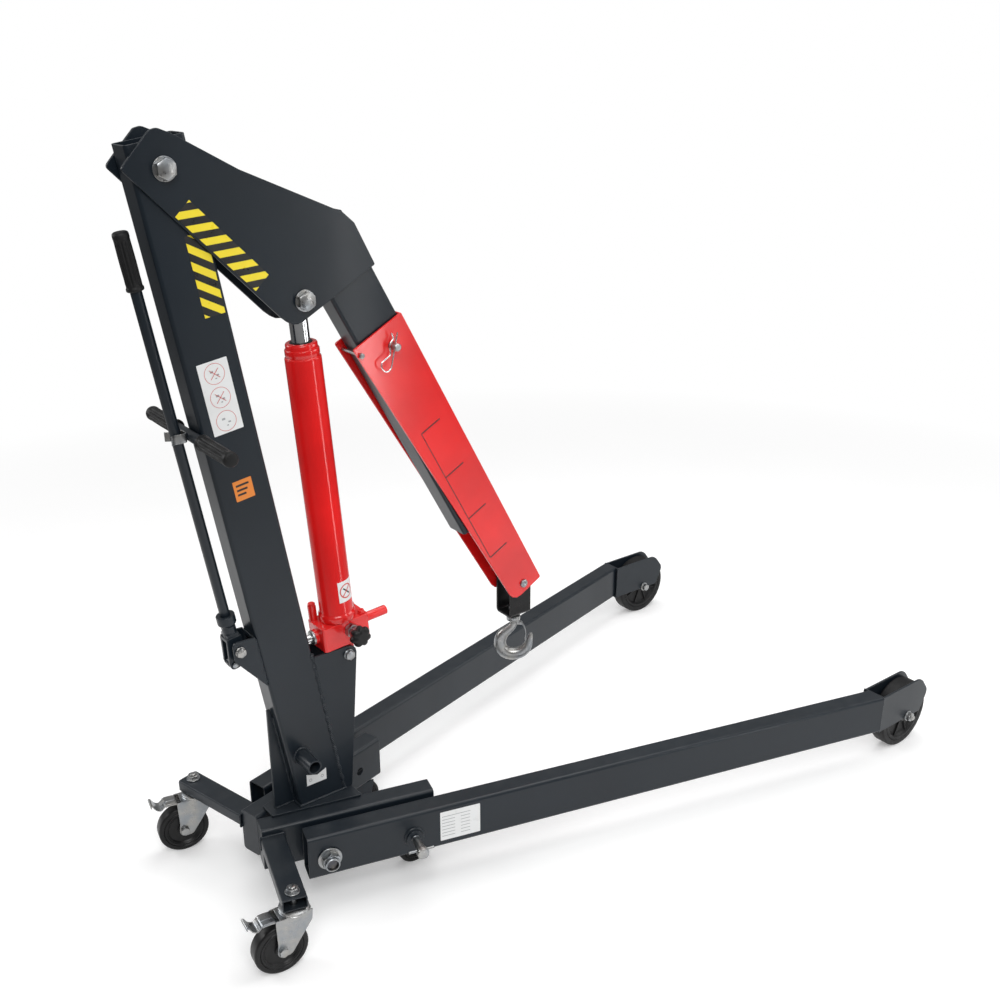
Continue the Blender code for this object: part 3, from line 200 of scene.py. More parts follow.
def shade(color, factor):
    return (*(min(1.0, channel * factor) for channel in color), 1.0)


def edge_mask(tree, radius, edge_lightening):
    """High on convex edges, where the rounded normal leaves the true one, in noisy patches; callers
    lighten these edges as wear and as a painted highlight. Also gives the rounded normal.
    """
    rounded_normal = node(tree, "Bevel", {"Radius": radius}, samples=4).outputs[0]
    true_normal = node(tree, "NewGeometry").outputs["Normal"]
    sockets = {0: rounded_normal, 1: true_normal}
    match = node(tree, "VectorMath", sockets, operation="DOT_PRODUCT").outputs["Value"]
    edge = ranged(tree, match, 0.98, 0.86, 0.0, 1.0)
    patchy = ranged(tree, noise(tree, 90.0), 0.42, 0.62, 0.25 * edge_lightening, edge_lightening)
    return times(tree, edge, patchy), rounded_normal


def new_material(name):
    made = bpy.data.materials.new(name)
    made.use_nodes = True
    tree = made.node_tree
    return made, tree, tree.nodes["Principled BSDF"]


def bumped(tree, height, strength, distance, normal=None):
    sockets = {"Height": height, "Strength": strength, "Distance": distance}
    if normal is not None:
        sockets["Normal"] = normal
    return node(tree, "Bump", sockets).outputs[0]


def paint(name, color, rough, coat, edge_color):
    """Sprayed and baked paint: orange peel, faint cloudiness, edges lightened as rubbed wear and
    painted highlight, and settled dust.
    """
    made, tree, shader = new_material(name)
    cloud = ranged(tree, noise(tree, 5.0, 4.0), 0.35, 0.65, 0.0, 1.0)
    base = blended(tree, cloud, shade(color, 0.88), shade(color, 1.12))
    worn_and_lit_edge, normal = edge_mask(tree, 0.0011, 0.55)
    # Lighter edge colour: partly rubbed wear, partly a painted highlight on the rounded edges.
    base = blended(tree, worn_and_lit_edge, base, (*edge_color, 1.0))
    upward = node(tree, "SeparateXYZ", {0: node(tree, "NewGeometry").outputs["Normal"]}).outputs[2]
    dust = times(tree, ranged(tree, upward, 0.6, 1.0, 0.0, 1.0), noise(tree, 38.0, 6.0))
    base = blended(tree, times(tree, dust, 0.05), base, (0.42, 0.41, 0.39, 1.0))
    smudge = ranged(tree, noise(tree, 11.0, 5.0, (1, 1, 0.35)), 0.3, 0.7, -0.04, 0.06)
    roughness = node(tree, "Math", {0: smudge, 1: rough}, operation="ADD").outputs[0]
    peel = bumped(tree, noise(tree, 420.0, 1.5), 0.10, 0.0004, normal)
    set_sockets(tree, shader, {
        "Base Color": base, "Roughness": roughness, "Normal": peel,
        "Coat Weight": coat, "Coat Roughness": 0.10, "Specular IOR Level": 0.36,
    })
    return made


def plated(name, color, tint, rough, grain):
    """Bright metal plating: mottled tone and roughness, with a fine grain or drawn streaks."""
    made, tree, shader = new_material(name)
    place = node(tree, "TexCoord").outputs["Object"]
    cells = node(tree, "TexVoronoi", {"Vector": place, "Scale": 260.0}).outputs["Color"]
    spangle = node(tree, "SeparateColor", {0: cells}).outputs[0]
    patch = ranged(tree, noise(tree, 45.0, 4.0), 0.35, 0.65, 0.0, 1.0)
    base = blended(tree, patch, (*color, 1.0), (*tint, 1.0))
    base = blended(tree, times(tree, spangle, 0.10), base, shade(color, 0.72))
    roughness = ranged(tree, noise(tree, 120.0, 4.0), 0.3, 0.7, rough * 0.75, rough * 1.35)
    worn_and_lit_edge, normal = edge_mask(tree, 0.0006, 0.5)
    # Lighter edge colour on the metal: partly rubbed wear, partly a painted highlight on the rounded
    # edges.
    base = blended(tree, worn_and_lit_edge, base, shade(color, 1.25))
    fine = bumped(tree, noise(tree, 900.0, 2.0, grain), 0.07, 0.0002, normal)
    set_sockets(tree, shader, {
        "Base Color": base, "Metallic": 1.0, "Roughness": roughness, "Normal": fine,
    })
    return made


def moulded(name, color, rough, grain_depth, dusty):
    """Moulded rubber or plastic: fine grain, edges lightened as scuffs and painted highlight, and
    dust specks.
    """
    made, tree, shader = new_material(name)
    cloud = ranged(tree, noise(tree, 30.0, 5.0), 0.3, 0.7, 0.0, 1.0)
    base = blended(tree, cloud, shade(color, 0.8), shade(color, 1.25))
    worn_and_lit_edge, normal = edge_mask(tree, 0.0012, 0.5)
    # Much lighter edge colour: partly scuffs, partly a painted highlight on the rounded edges.
    base = blended(tree, worn_and_lit_edge, base, shade(color, 3.0))
    specks = ranged(tree, noise(tree, 260.0, 6.0), 0.60, 0.72, 0.0, dusty)
    base = blended(tree, specks, base, (0.20, 0.19, 0.18, 1.0))
    roughness = ranged(tree, noise(tree, 55.0, 4.0), 0.3, 0.7, rough - 0.07, rough + 0.09)
    fine = bumped(tree, noise(tree, 1400.0, 3.0), 0.25, grain_depth, normal)
    set_sockets(tree, shader, {
        "Base Color": base, "Roughness": roughness, "Normal": fine, "Specular IOR Level": 0.30,
    })
    return made


def printed(name, color, wear_color):
    """Vinyl sticker film: nearly even colour, lightly scuffed and soiled at the grain."""
    made, tree, shader = new_material(name)
    soil = ranged(tree, noise(tree, 26.0, 6.0), 0.45, 0.85, 0.0, 0.22)
    base = blended(tree, soil, (*color, 1.0), (*wear_color, 1.0))
    roughness = ranged(tree, noise(tree, 70.0, 3.0), 0.3, 0.7, 0.26, 0.42)
    fine = bumped(tree, noise(tree, 600.0, 2.0), 0.05, 0.0002)
    set_sockets(tree, shader, {
        "Base Color": base, "Roughness": roughness, "Normal": fine, "Coat Weight": 0.15,
    })
    return made


LOOKS = {name: maker(name, *values) for name, maker, *values in (
    ("anthracite_paint", paint, (0.0085, 0.0135, 0.0195), 0.33, 0.08, (0.14, 0.15, 0.16)),
    ("red_paint", paint, (0.76, 0.012, 0.012), 0.20, 0.6, (0.78, 0.09, 0.07)),
    ("zinc_plate", plated, (0.34, 0.36, 0.38), (0.44, 0.43, 0.41), 0.32, (1, 1, 1)),
    ("polished_chrome", plated, (0.80, 0.81, 0.82), (0.86, 0.86, 0.87), 0.09, (1, 1, 0.06)),
    ("black_rubber", moulded, (0.0075, 0.0075, 0.008), 0.50, 0.0004, 0.08),
    ("black_plastic", moulded, (0.007, 0.007, 0.0075), 0.34, 0.0002, 0.02),
    # Dark steel for the bolt end inside the hinge nut's collar: painted shade for that recess.
    ("oiled_steel", plated, (0.10, 0.10, 0.11), (0.16, 0.15, 0.13), 0.34, (1, 1, 1)),
    ("label_white", printed, (0.80, 0.81, 0.81), (0.52, 0.50, 0.46)),
    ("label_yellow", printed, (0.90, 0.72, 0.03), (0.52, 0.42, 0.08)),
    ("label_black", printed, (0.012, 0.012, 0.012), (0.05, 0.05, 0.05)),
    ("label_orange", printed, (0.80, 0.24, 0.03), (0.50, 0.20, 0.08)),
    ("label_red", printed, (0.60, 0.06, 0.05), (0.40, 0.12, 0.10)),
    ("label_grey", printed, (0.36, 0.37, 0.38), (0.30, 0.30, 0.30)),
)}


# Outlines

def rounded(corners, steps=5):
    """An outline whose corners (u, v) or (u, v, radius) are rounded."""
    points = []
    count = len(corners)
    for index, corner in enumerate(corners):
        here = Vector(corner[:2])
        radius = corner[2] if len(corner) > 2 else 0.0
        if radius == 0.0:
            points.append(tuple(here))
            continue
        before = (Vector(corners[index - 1][:2]) - here).normalized()
        after = (Vector(corners[(index + 1) % count][:2]) - here).normalized()
        half = before.angle(after) / 2
        centre = here + (before + after).normalized() * (radius / math.sin(half))
        start = here + before * (radius / math.tan(half)) - centre
        sweep = math.pi - 2 * half
        if before.cross(after) > 0:
            sweep = -sweep
        for step in range(steps + 1):
            turn = Matrix.Rotation(sweep * step / steps, 2)
            points.append(tuple(centre + turn @ start))
    return points


def rectangle(low_u, high_u, low_v, high_v, radius=0.0):
    corners = ((low_u, low_v), (high_u, low_v), (high_u, high_v), (low_u, high_v))
    return rounded([(*corner, radius) for corner in corners])


def circle(u, v, radius, steps=48):
    turns = [2 * math.pi * step / steps for step in range(steps)]
    return [(u + radius * math.cos(turn), v + radius * math.sin(turn)) for turn in turns]


def smooth_path(points, parts=6):
    """A Catmull-Rom curve through points of any dimension, with parts steps between them."""
    path = []
    last = len(points) - 1
    for index in range(last):
        four = [Vector(points[min(max(index + shift, 0), last)]) for shift in (-1, 0, 1, 2)]
        for step in range(parts):
            t = step / parts
            path.append(tuple(0.5 * (
                2 * four[1] + (four[2] - four[0]) * t
                + (2 * four[0] - 5 * four[1] + 4 * four[2] - four[3]) * t * t
                + (3 * four[1] - four[0] - 3 * four[2] + four[3]) * t * t * t
            )))
    path.append(tuple(points[last]))
    return path


def ribbon(path, thickness):
    """The outline of a strip of even thickness along a path."""
    left = []
    right = []
    for index, point in enumerate(path):
        here = Vector(point)
        ahead = Vector(path[min(index + 1, len(path) - 1)]) - here
        behind = here - Vector(path[max(index - 1, 0)])
        if index == 0:
            behind = ahead
        if index == len(path) - 1:
            ahead = behind
        normal = (ahead.normalized() + behind.normalized()).normalized().orthogonal()
        reach = thickness / 2 / max(0.3, abs(normal.dot(ahead.normalized().orthogonal())))
        left.append(tuple(here + normal * reach))
        right.append(tuple(here - normal * reach))
    return left + right[::-1]


# Meshes

def cleaned(mesh):
    """A closed mesh, its coinciding points welded and its normals turned outwards."""
    body = bmesh.new()
    body.from_mesh(mesh)
    bmesh.ops.remove_doubles(body, verts=body.verts, dist=1e-6)
    bmesh.ops.recalc_face_normals(body, faces=body.faces)
    body.to_mesh(mesh)
    body.free()
    return mesh


def prism(outline, low, high, where, holes=()):
    """A flat outline with holes, filled and extruded from low to high along w."""
    curve = bpy.data.curves.new("outline", "CURVE")
    curve.dimensions = "2D"
    curve.fill_mode = "BOTH"
    curve.extrude = (high - low) / 2
    for ring in (outline, *holes):
        spline = curve.splines.new("POLY")
        spline.points.add(len(ring) - 1)
        spline.use_cyclic_u = True
        for point, (u, v) in zip(spline.points, ring):
            point.co = (u, v, 0, 1)
    drawn = bpy.data.objects.new("outline", curve)
    mesh = bpy.data.meshes.new_from_object(drawn)
    bpy.data.objects.remove(drawn)
    bpy.data.curves.remove(curve)
    mesh.transform(where @ Matrix.Translation((0, 0, (low + high) / 2)))
    return cleaned(mesh)


def lofted(rings, where, closed=False):
    """Quads between rings of (u, v, w) points; open ends are capped, closed joins last to first."""
    body = bmesh.new()
    rows = [[body.verts.new(point) for point in ring] for ring in rings]
    pairs = list(zip(rows, rows[1:]))
    if closed:
        pairs.append((rows[-1], rows[0]))
    for lower, upper in pairs:
        for step in range(len(lower)):
            after = (step + 1) % len(lower)
            body.faces.new((lower[step], lower[after], upper[after], upper[step]))
    if not closed:
        body.faces.new(rows[0][::-1])
        body.faces.new(rows[-1])
    mesh = bpy.data.meshes.new("loft")
    body.to_mesh(mesh)
    body.free()
    mesh.transform(where)
    return cleaned(mesh)


def ring_points(w, steps, reach):
    """A ring at height w whose radius at each angle is reach(angle)."""
    points = []
    for step in range(steps):
        turn = 2 * math.pi * step / steps
        points.append((reach(turn) * math.cos(turn), reach(turn) * math.sin(turn), w))
    return points


def turned(profile, where, steps=64, closed=False, flutes=0, depth=0.0):
    """A profile of (radius, w), or (radius, w, share of the flutes), turned about the w axis."""
    rings = []
    for radius, w, *share in profile:
        cut = depth * share[0] if share else 0.0
        rings.append(ring_points(w, steps, lambda turn, radius=radius, cut=cut: max(
            1e-7, radius - cut * (0.5 + 0.5 * math.cos(flutes * turn)) ** 2)))
    return lofted(rings, where, closed)


def hexagon(w, half_flats, limit):
    """A hexagonal ring whose corners are cut off at a radius."""
    def reach(turn):
        flat = half_flats / math.cos((turn % (math.pi / 3)) - math.pi / 6)
        return min(flat, limit)
    return ring_points(w, 72, reach)


def disc(w, radius):
    return ring_points(w, 72, lambda turn: radius)


def hex_rings(low, high, half, low_cut=True, high_cut=True):
    """Rings of a hexagonal head whose cut ends are chamfered to a cone of 30 degrees."""
    corner = half / math.cos(math.pi / 6)
    rise = (corner - half) * math.tan(math.pi / 6)
    inner = half * 0.97

    def end(w, inward, cut):
        shares = (0.0, 0.35, 0.7, 1.0) if cut else (1.0,)
        return [hexagon(w + share * inward * cut, half, inner + share * (corner - inner))
                for share in shares]

    return end(low, rise, low_cut) + end(high, -rise, high_cut)[::-1]


def washer_rings(low, high, radius):
    edge = min(0.0005, (high - low) / 3)
    return [disc(low, radius - edge), disc(low + edge, radius), disc(high - edge, radius),
            disc(high, radius - edge)]


def thread_rings(low, high, radius, pitch=0.0015):
    """A threaded end, as even grooves closed by a chamfer."""
    rings = []
    count = max(1, round((high - low) / pitch))
    for index in range(count):
        start = low + (high - low) * index / count
        rings.append(disc(start, radius * 0.90))
        rings.append(disc(start + (high - low) / count / 2, radius))
    rings.append(disc(high, radius * 0.84))
    return rings


def bar(low, high, radius, where, steps=48):
    """A round bar with small chamfers at both ends."""
    edge = 0.0004
    return turned(((radius - edge, low), (radius, low + edge), (radius, high - edge),
                   (radius - edge, high)), where, steps)


def swept(path, radii, where, steps, flat=1.0, exponent=2.0):
    """A bar along (u, v) points; its section is a superellipse, flat times as high along w."""
    rings = []
    spots = [Vector((*point, 0)) for point in path]
    for index, (here, radius) in enumerate(zip(spots, radii)):
        tangent = spots[min(index + 1, len(spots) - 1)] - spots[max(index - 1, 0)]
        tangent.normalize()
        side = tangent.cross(Z_AXIS)
        side.normalize()
        other = side.cross(tangent)
        ring = []
        for step in range(steps):
            turn = 2 * math.pi * step / steps
            cos, sin = math.cos(turn), math.sin(turn)
            size = radius * (abs(cos) ** exponent + abs(sin) ** exponent) ** (-1 / exponent)
            ring.append(tuple(here + side * (size * cos) + other * (size * sin * flat)))
        rings.append(ring)
    return lofted(rings, where)


def joined(*meshes):
    """Several meshes as the loose parts of one."""
    body = bmesh.new()
    for mesh in meshes:
        body.from_mesh(mesh)
        bpy.data.meshes.remove(mesh)
    mesh = bpy.data.meshes.new("joined")
    body.to_mesh(mesh)
    body.free()
    return mesh


def mirrored(mesh):
    copy = mesh.copy()
    copy.transform(MIRROR)
    copy.flip_normals()
    return copy


# Pieces

def soften(obj, width):
    """Rounds the edges of a piece and keeps its flat faces flat."""
    bevel = obj.modifiers.new("edges", "BEVEL")
    bevel.width = width
    bevel.segments = 2
    bevel.limit_method = "ANGLE"
    bevel.angle_limit = math.radians(32)
    bevel.use_clamp_overlap = False
    bevel.miter_outer = "MITER_ARC"
    shading = obj.modifiers.new("shading", "WEIGHTED_NORMAL")
    shading.weight = 90
    shading.keep_sharp = False


def piece(name, mesh, look, body, replaces=(), edge=0.0, smooth=38):
    """A new piece with one look, riding a body and standing for the nodes it replaces."""
    mesh.name = name
    mesh.materials.clear()
    mesh.materials.append(LOOKS[look])
    mesh.shade_smooth()
    if not edge:
        mesh.set_sharp_from_angle(angle=math.radians(smooth))
    obj = bpy.data.objects.new(name, mesh)
    bpy.context.scene.collection.objects.link(obj)
    if edge:
        soften(obj, edge)
    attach(obj, body)
    if replaces:
        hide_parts(*replaces)
    return obj


def both(name, mesh, look, body, replaces=(), edge=0.0, smooth=38):
    """The left piece and its mirror image; {} in a body or node name is the side."""
    for side, shape in (("right", mirrored(mesh)), ("left", mesh)):
        nodes = [node_name.format(side) for node_name in replaces]
        piece(f"{name}_{side}", shape, look, body.format(side), nodes, edge, smooth)


def keep(name, look, edge=0.0007):
    """A frame node that stays: its loose faces joined, edges softened and its look given."""
    obj = frame["nodes"][name]
    obj.data.materials.clear()
    obj.data.materials.append(LOOKS[look])
    obj.data.polygons.foreach_set("material_index", [0] * len(obj.data.polygons))
    obj.data.polygons.foreach_set("use_smooth", [True] * len(obj.data.polygons))
    weld = obj.modifiers.new("weld", "WELD")
    weld.merge_threshold = 0.00002
    flats = obj.modifiers.new("flats", "DECIMATE")
    flats.decimate_type = "DISSOLVE"
    flats.angle_limit = math.radians(0.5)
    soften(obj, edge)


def weld_bead(name, points, body, radius=0.0024, closed=False):
    """A rippled weld bead along a line of points."""
    corners = [Vector(point) for point in points]
    if closed:
        corners.append(corners[0])
    path = []
    for start, end in zip(corners, corners[1:]):
        count = max(2, round((end - start).length / 0.0014))
        path += [start.lerp(end, step / count) for step in range(count)]
    if not closed:
        path.append(corners[-1])
    rings = []
    for index, here in enumerate(path):
        ahead = path[(index + 1) % len(path)] if closed or index + 1 < len(path) else here
        behind = path[index - 1] if closed or index else here
        tangent = (ahead - behind).normalized()
        side = tangent.cross(Vector((0.31, 0.53, 0.79))).normalized()
        other = side.cross(tangent)
        swell = 1 + 0.20 * math.sin(index * 2.1) + 0.16 * math.sin(index * 0.37 + 1.0)
        if not closed and index in (0, len(path) - 1):
            swell = 0.35
        ring = []
        for step in range(10):
            turn = 2 * math.pi * step / 10
            offset = side * math.cos(turn) + other * math.sin(turn)
            ring.append(tuple(here + offset * (radius * swell)))
        rings.append(ring)
    return piece(name, lofted(rings, Matrix.Identity(4), closed), "anthracite_paint", body, smooth=80)


# Frame nodes that stay

def keep_frame_solids():
    for name in ("base_rail_left", "base_rail_right", "base_plate", "leg_left", "leg_right",
                 "leg_wheel_fork_left", "leg_wheel_fork_right", "caster_arm_left",
                 "caster_arm_right", "column", "column_gusset", "ram_bracket", "stow_tube",
                 "lever_bracket", "boom_plate_left", "boom_plate_right", "boom_tube",
                 "lever_socket", "pump_link"):
        keep(name, "anthracite_paint")
    keep("boom_extension", "red_paint")
    keep("ram_base", "red_paint", 0.0010)


# Wheels

def wheel(centre, hub_r, hub_half, web_half, rim_r, tread_half, radius, bore, shoulder, steps=96):
    """A moulded wheel: rounded tread, a ringed side wall, a dished web and a stepped hub."""
    arc = [math.radians(turn) for turn in range(0, 91, 15)]
    half = [
        (bore, hub_half), (hub_r * 0.72, hub_half), (hub_r * 0.75, hub_half - 0.0012),
        (hub_r, hub_half - 0.0018), (hub_r + 0.0015, web_half), (rim_r - 0.003, web_half),
        (rim_r, web_half + 0.003), (rim_r + 0.0008, tread_half - 0.0015),
        (rim_r + 0.0022, tread_half),
    ]
    groove = (radius - shoulder + rim_r) / 2
    half += [(groove - 0.0014, tread_half), (groove, tread_half - 0.0016),
             (groove + 0.0014, tread_half)]
    half += [(radius - shoulder + shoulder * math.sin(turn),
              tread_half - shoulder + shoulder * math.cos(turn)) for turn in arc]
    profile = half + [(reach, -w) for reach, w in reversed(half)]
    return turned(profile, placed(centre, Z_AXIS, X_AXIS), steps, closed=True)


def web_ribs(centre, count, inner, outer, half, thickness):
    """Radial ribs standing on both sides of a wheel's web."""
    ribs = []
    for step in range(count):
        turn = 2 * math.pi * (step + 0.5) / count
        spoke = Vector((math.cos(turn), 0, math.sin(turn)))
        where = placed(centre, spoke, Vector((-spoke.z, 0, spoke.x)))
        outline = rectangle(inner, outer, -thickness / 2, thickness / 2, thickness * 0.4)
        ribs.append(prism(outline, -half, half, where))
    return joined(*ribs)


def make_leg_wheels():
    centre = pivot("leg_wheel_spin_left")
    tyre = wheel(centre, hub_r=0.0175, hub_half=0.0202, web_half=0.0105, rim_r=0.0565,
                 tread_half=0.0178, radius=centre.z, bore=0.0064, shoulder=0.0045)
    both("leg_wheel_tyre", tyre, "black_rubber", "leg_wheel_{}", ("leg_wheel_{}",))
    ribs = web_ribs(centre, 8, 0.0165, 0.0570, 0.0140, 0.0032)
    both("leg_wheel_ribs", ribs, "black_rubber", "leg_wheel_{}")
    near, far = (corner.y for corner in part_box("leg_wheel_fork_left"))
    where = across(centre)
    both("leg_axle_head", head(where, near - 0.0002, 0.0120, 0.0024, 0.0085, 0.0099),
         "zinc_plate", "leg_{}", ("leg_wheel_axle_{}",), smooth=30)
    both("leg_axle_shaft", bar(near - 0.001, far + 0.001, 0.006, where), "zinc_plate", "leg_{}")
    both("leg_axle_nut", nut(where, far + 0.0002, 0.0120, 0.0024, 0.0095, 0.0085, 0.0055, 0.0055),
         "zinc_plate", "leg_{}", smooth=30)


def nut(where, face, washer_r, washer, half, height, bolt_r, proud):
    """A washer and hexagonal nut above a face, with the bolt's threaded end standing proud."""
    rings = washer_rings(face, face + washer, washer_r)
    top = face + washer + height
    rings += hex_rings(face + washer, top, half, False, True)
    rings += [disc(top, bolt_r * 1.05), disc(top - 0.0004, bolt_r * 0.92)]
    rings += thread_rings(top, top + proud, bolt_r)
    return lofted(rings, where)


def head(where, face, washer_r, washer, half, height):
    """A washer and bolt head below a face, seen from below."""
    rings = hex_rings(face - washer - height, face - washer, half, True, False)
    rings += washer_rings(face - washer, face, washer_r)
    return lofted(rings, where)


def make_mid_wheels():
    centre = pivot("mid_wheel_spin_left")
    tyre = wheel(centre, hub_r=0.0100, hub_half=0.0138, web_half=0.0080, rim_r=0.0240,
                 tread_half=0.0118, radius=centre.z, bore=0.0043, shoulder=0.0030, steps=72)
    both("mid_wheel_tyre", tyre, "black_plastic", "mid_wheel_{}", ("mid_wheel_{}",))
    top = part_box("base_rail_left")[0].z - GAP
    outline = rounded((
        (centre.x - 0.022, top), (centre.x - 0.011, 0.027, 0.009),
        (centre.x + 0.011, 0.027, 0.009), (centre.x + 0.022, top),
    ))
    where = placed(Vector((0, centre.y, 0)), X_AXIS, Z_AXIS)
    cheeks = joined(prism(outline, 0.0145, 0.0185, where), prism(outline, -0.0185, -0.0145, where))
    both("mid_wheel_cheeks", cheeks, "anthracite_paint", "base", ("mid_wheel_fork_{}",), 0.0006)
    axle = placed(centre, Z_AXIS, X_AXIS)
    rings = hex_rings(-0.0243, -0.0190, 0.0062, True, False) + [disc(-0.0190, 0.0040)]
    rings += [disc(0.0190, 0.0040)] + hex_rings(0.0190, 0.0243, 0.0062, False, True)
    both("mid_wheel_axle", lofted(rings, axle), "zinc_plate", "base", smooth=30)


# Base fasteners

def make_hinge_bolts():
    where = outwards(0, HINGE.z)
    nut_rings = washer_rings(0.0003, 0.0035, 0.0230)
    nut_rings += hex_rings(0.0035, 0.0160, 0.0155, False, True)
    nut_rings += [disc(0.0160, 0.0140), disc(0.0228, 0.0140), disc(0.0240, 0.0128),
                  disc(0.0240, 0.0114), disc(0.0180, 0.0108)]
    both("hinge_nut", lofted(nut_rings, where), "zinc_plate", "base", ("leg_hinge_bolt_{}",),
         smooth=30)
    end = thread_rings(0.0165, 0.0205, 0.0100)
    # The bolt end gets the dark steel as painted shade in the collar's recess.
    both("hinge_bolt_end", lofted(end, where), "oiled_steel", "base", smooth=30)
    spacer = turned(((0.0083, -RAIL_OUTER + GAP), (0.0165, -RAIL_OUTER + GAP),
                     (0.0170, -RAIL_OUTER + 0.0010), (0.0170, -TUBE_WIDTH - 0.0010),
                     (0.0165, -TUBE_WIDTH - GAP), (0.0083, -TUBE_WIDTH - GAP)),
                    where, 64, closed=True)
    both("hinge_spacer", spacer, "zinc_plate", "base")
    both("hinge_bolt_shank", bar(-RAIL_INNER - 0.001, 0.002, 0.0080, where), "zinc_plate", "base")
    both("hinge_bolt_head", head(where, -RAIL_INNER - GAP, 0.0150, 0.0032, 0.0110, 0.0100),
         "zinc_plate", "base", smooth=30)


def make_lock_pins():
    centre = leg_point(PIN_ALONG, 0, HINGE.z)
    where = placed(centre, Z_AXIS, ALONG)
    tip, flange, crown = -0.0440, 0.0460, 0.0570
    pin = turned((
        (0.0, tip), (0.0055, tip), (0.0078, tip + 0.0030), (0.0080, tip + 0.0040),
        (0.0080, 0.0095), (0.0074, 0.0100), (0.0074, 0.0112), (0.0080, 0.0117),
        (0.0080, flange), (0.0100, flange), (0.0114, flange + 0.0012),
        (0.0115, crown - 0.0022), (0.0109, crown - 0.0006), (0.0098, crown), (0.0, crown),
    ), where, 64)
    both("lock_pin_body", pin, "zinc_plate", "lock_pin_{}", ("lock_pin_{}",), smooth=30)
    bar_frame = placed(centre + OUT * 0.0430, OUT, Z_AXIS)
    both("lock_pin_bar", bar(-0.0250, 0.0250, 0.0025, bar_frame, 32), "zinc_plate", "lock_pin_{}")
    ring = turned((
        (0.0168, 0.0002), (0.0206, 0.0002), (0.0202, 0.0016), (0.0188, 0.0028),
        (0.0172, 0.0032), (0.0168, 0.0020),
    ), where, 64, closed=True)
    both("weld_lock_collar", ring, "anthracite_paint", "leg_{}")


# Casters

def make_caster(side):
    """A swivel caster. The two stand at different angles, so each is built on its own."""
    stem = pivot("caster_swivel_" + side)
    hub = pivot("caster_wheel_spin_" + side)
    back = Vector((hub.x - stem.x, hub.y - stem.y, 0))
    trail = back.length
    back.normalize()
    fore = -back
    floor_point = Vector((stem.x, stem.y, 0))
    left = Z_AXIS.cross(fore)
    plan = placed(floor_point, fore, left)
    view = placed(floor_point, fore, Z_AXIS)
    body = "caster_" + side
    wheel_frame = placed(hub, Z_AXIS, fore)
    tyre = wheel(ORIGIN, hub_r=0.0120, hub_half=0.0148, web_half=0.0092, rim_r=0.0335,
                 tread_half=0.0133, radius=hub.z, bore=0.0053, shoulder=0.0040)
    tyre.transform(wheel_frame @ placed(ORIGIN, Z_AXIS, X_AXIS).inverted())
    piece("caster_tyre_" + side, tyre, "black_plastic", "caster_wheel_" + side,
          ("caster_wheel_" + side,))
    cheek = rounded((
        (0.0285, 0.1165), (0.0265, 0.0960, 0.0100), (-trail + 0.0155, 0.0370, 0.0125),
        (-trail - 0.0115, 0.0370, 0.0115), (-trail - 0.0080, 0.0660, 0.0200),
        (-0.0400, 0.1010, 0.0060), (-0.0400, 0.1165),
    ), 6)
    hole = circle(-trail, hub.z, 0.0035)
    cheeks = joined(prism(cheek, 0.0157, 0.0182, view, (hole,)),
                    prism(cheek, -0.0182, -0.0157, view, (hole,)))
    piece("caster_cheeks_" + side, cheeks, "zinc_plate", body, ("caster_fork_" + side,), 0.0007)
    crown = turned((
        (0.0, 0.1140), (0.0175, 0.1140), (0.0210, 0.1150), (0.0262, 0.1160), (0.0272, 0.1172),
        (0.0272, 0.1188), (0.0262, 0.1196), (0.0262, 0.1206), (0.0272, 0.1214),
        (0.0270, 0.1230), (0.0245, 0.1246), (0.0215, 0.1252), (0.0180, 0.1262), (0.0, 0.1262),
    ), plan, 72)
    piece("caster_race_" + side, crown, "zinc_plate", body, smooth=30)
    bridge = rounded((
        (-0.0320, -0.0182, 0.004), (0.0285, -0.0182, 0.012), (0.0285, 0.0182, 0.012),
        (-0.0320, 0.0182, 0.004),
    ), 6)
    piece("caster_bridge_" + side, prism(bridge, 0.1142, 0.1166, plan), "zinc_plate", body, (),
          0.0008)
    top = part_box("caster_arm_" + side)[1].z + GAP
    rings = washer_rings(top, top + 0.0026, 0.0132)
    rings += hex_rings(top + 0.0026, top + 0.0098, 0.0095, False, True)
    rings += [disc(top + 0.0098, 0.0058), disc(top + 0.0094, 0.0050)]
    rings += thread_rings(top + 0.0098, top + 0.0128, 0.0055, 0.0012)
    piece("caster_kingpin_nut_" + side, lofted(rings, plan), "zinc_plate", body, smooth=30)
    stem_bar = bar(0.1180, top + 0.0010, 0.0060, plan)
    piece("caster_kingpin_" + side, stem_bar, "zinc_plate", body)
    rings = hex_rings(-0.0250, -0.0190, 0.0078, True, False)
    rings += washer_rings(-0.0190, -0.0184, 0.0088)
    rings += [disc(-0.0182, 0.0048), disc(0.0182, 0.0048)]
    rings += washer_rings(0.0184, 0.0190, 0.0088) + hex_rings(0.0190, 0.0250, 0.0075, False, True)
    piece("caster_axle_" + side, lofted(rings, wheel_frame), "zinc_plate", body, smooth=30)
    make_brake(side, view)


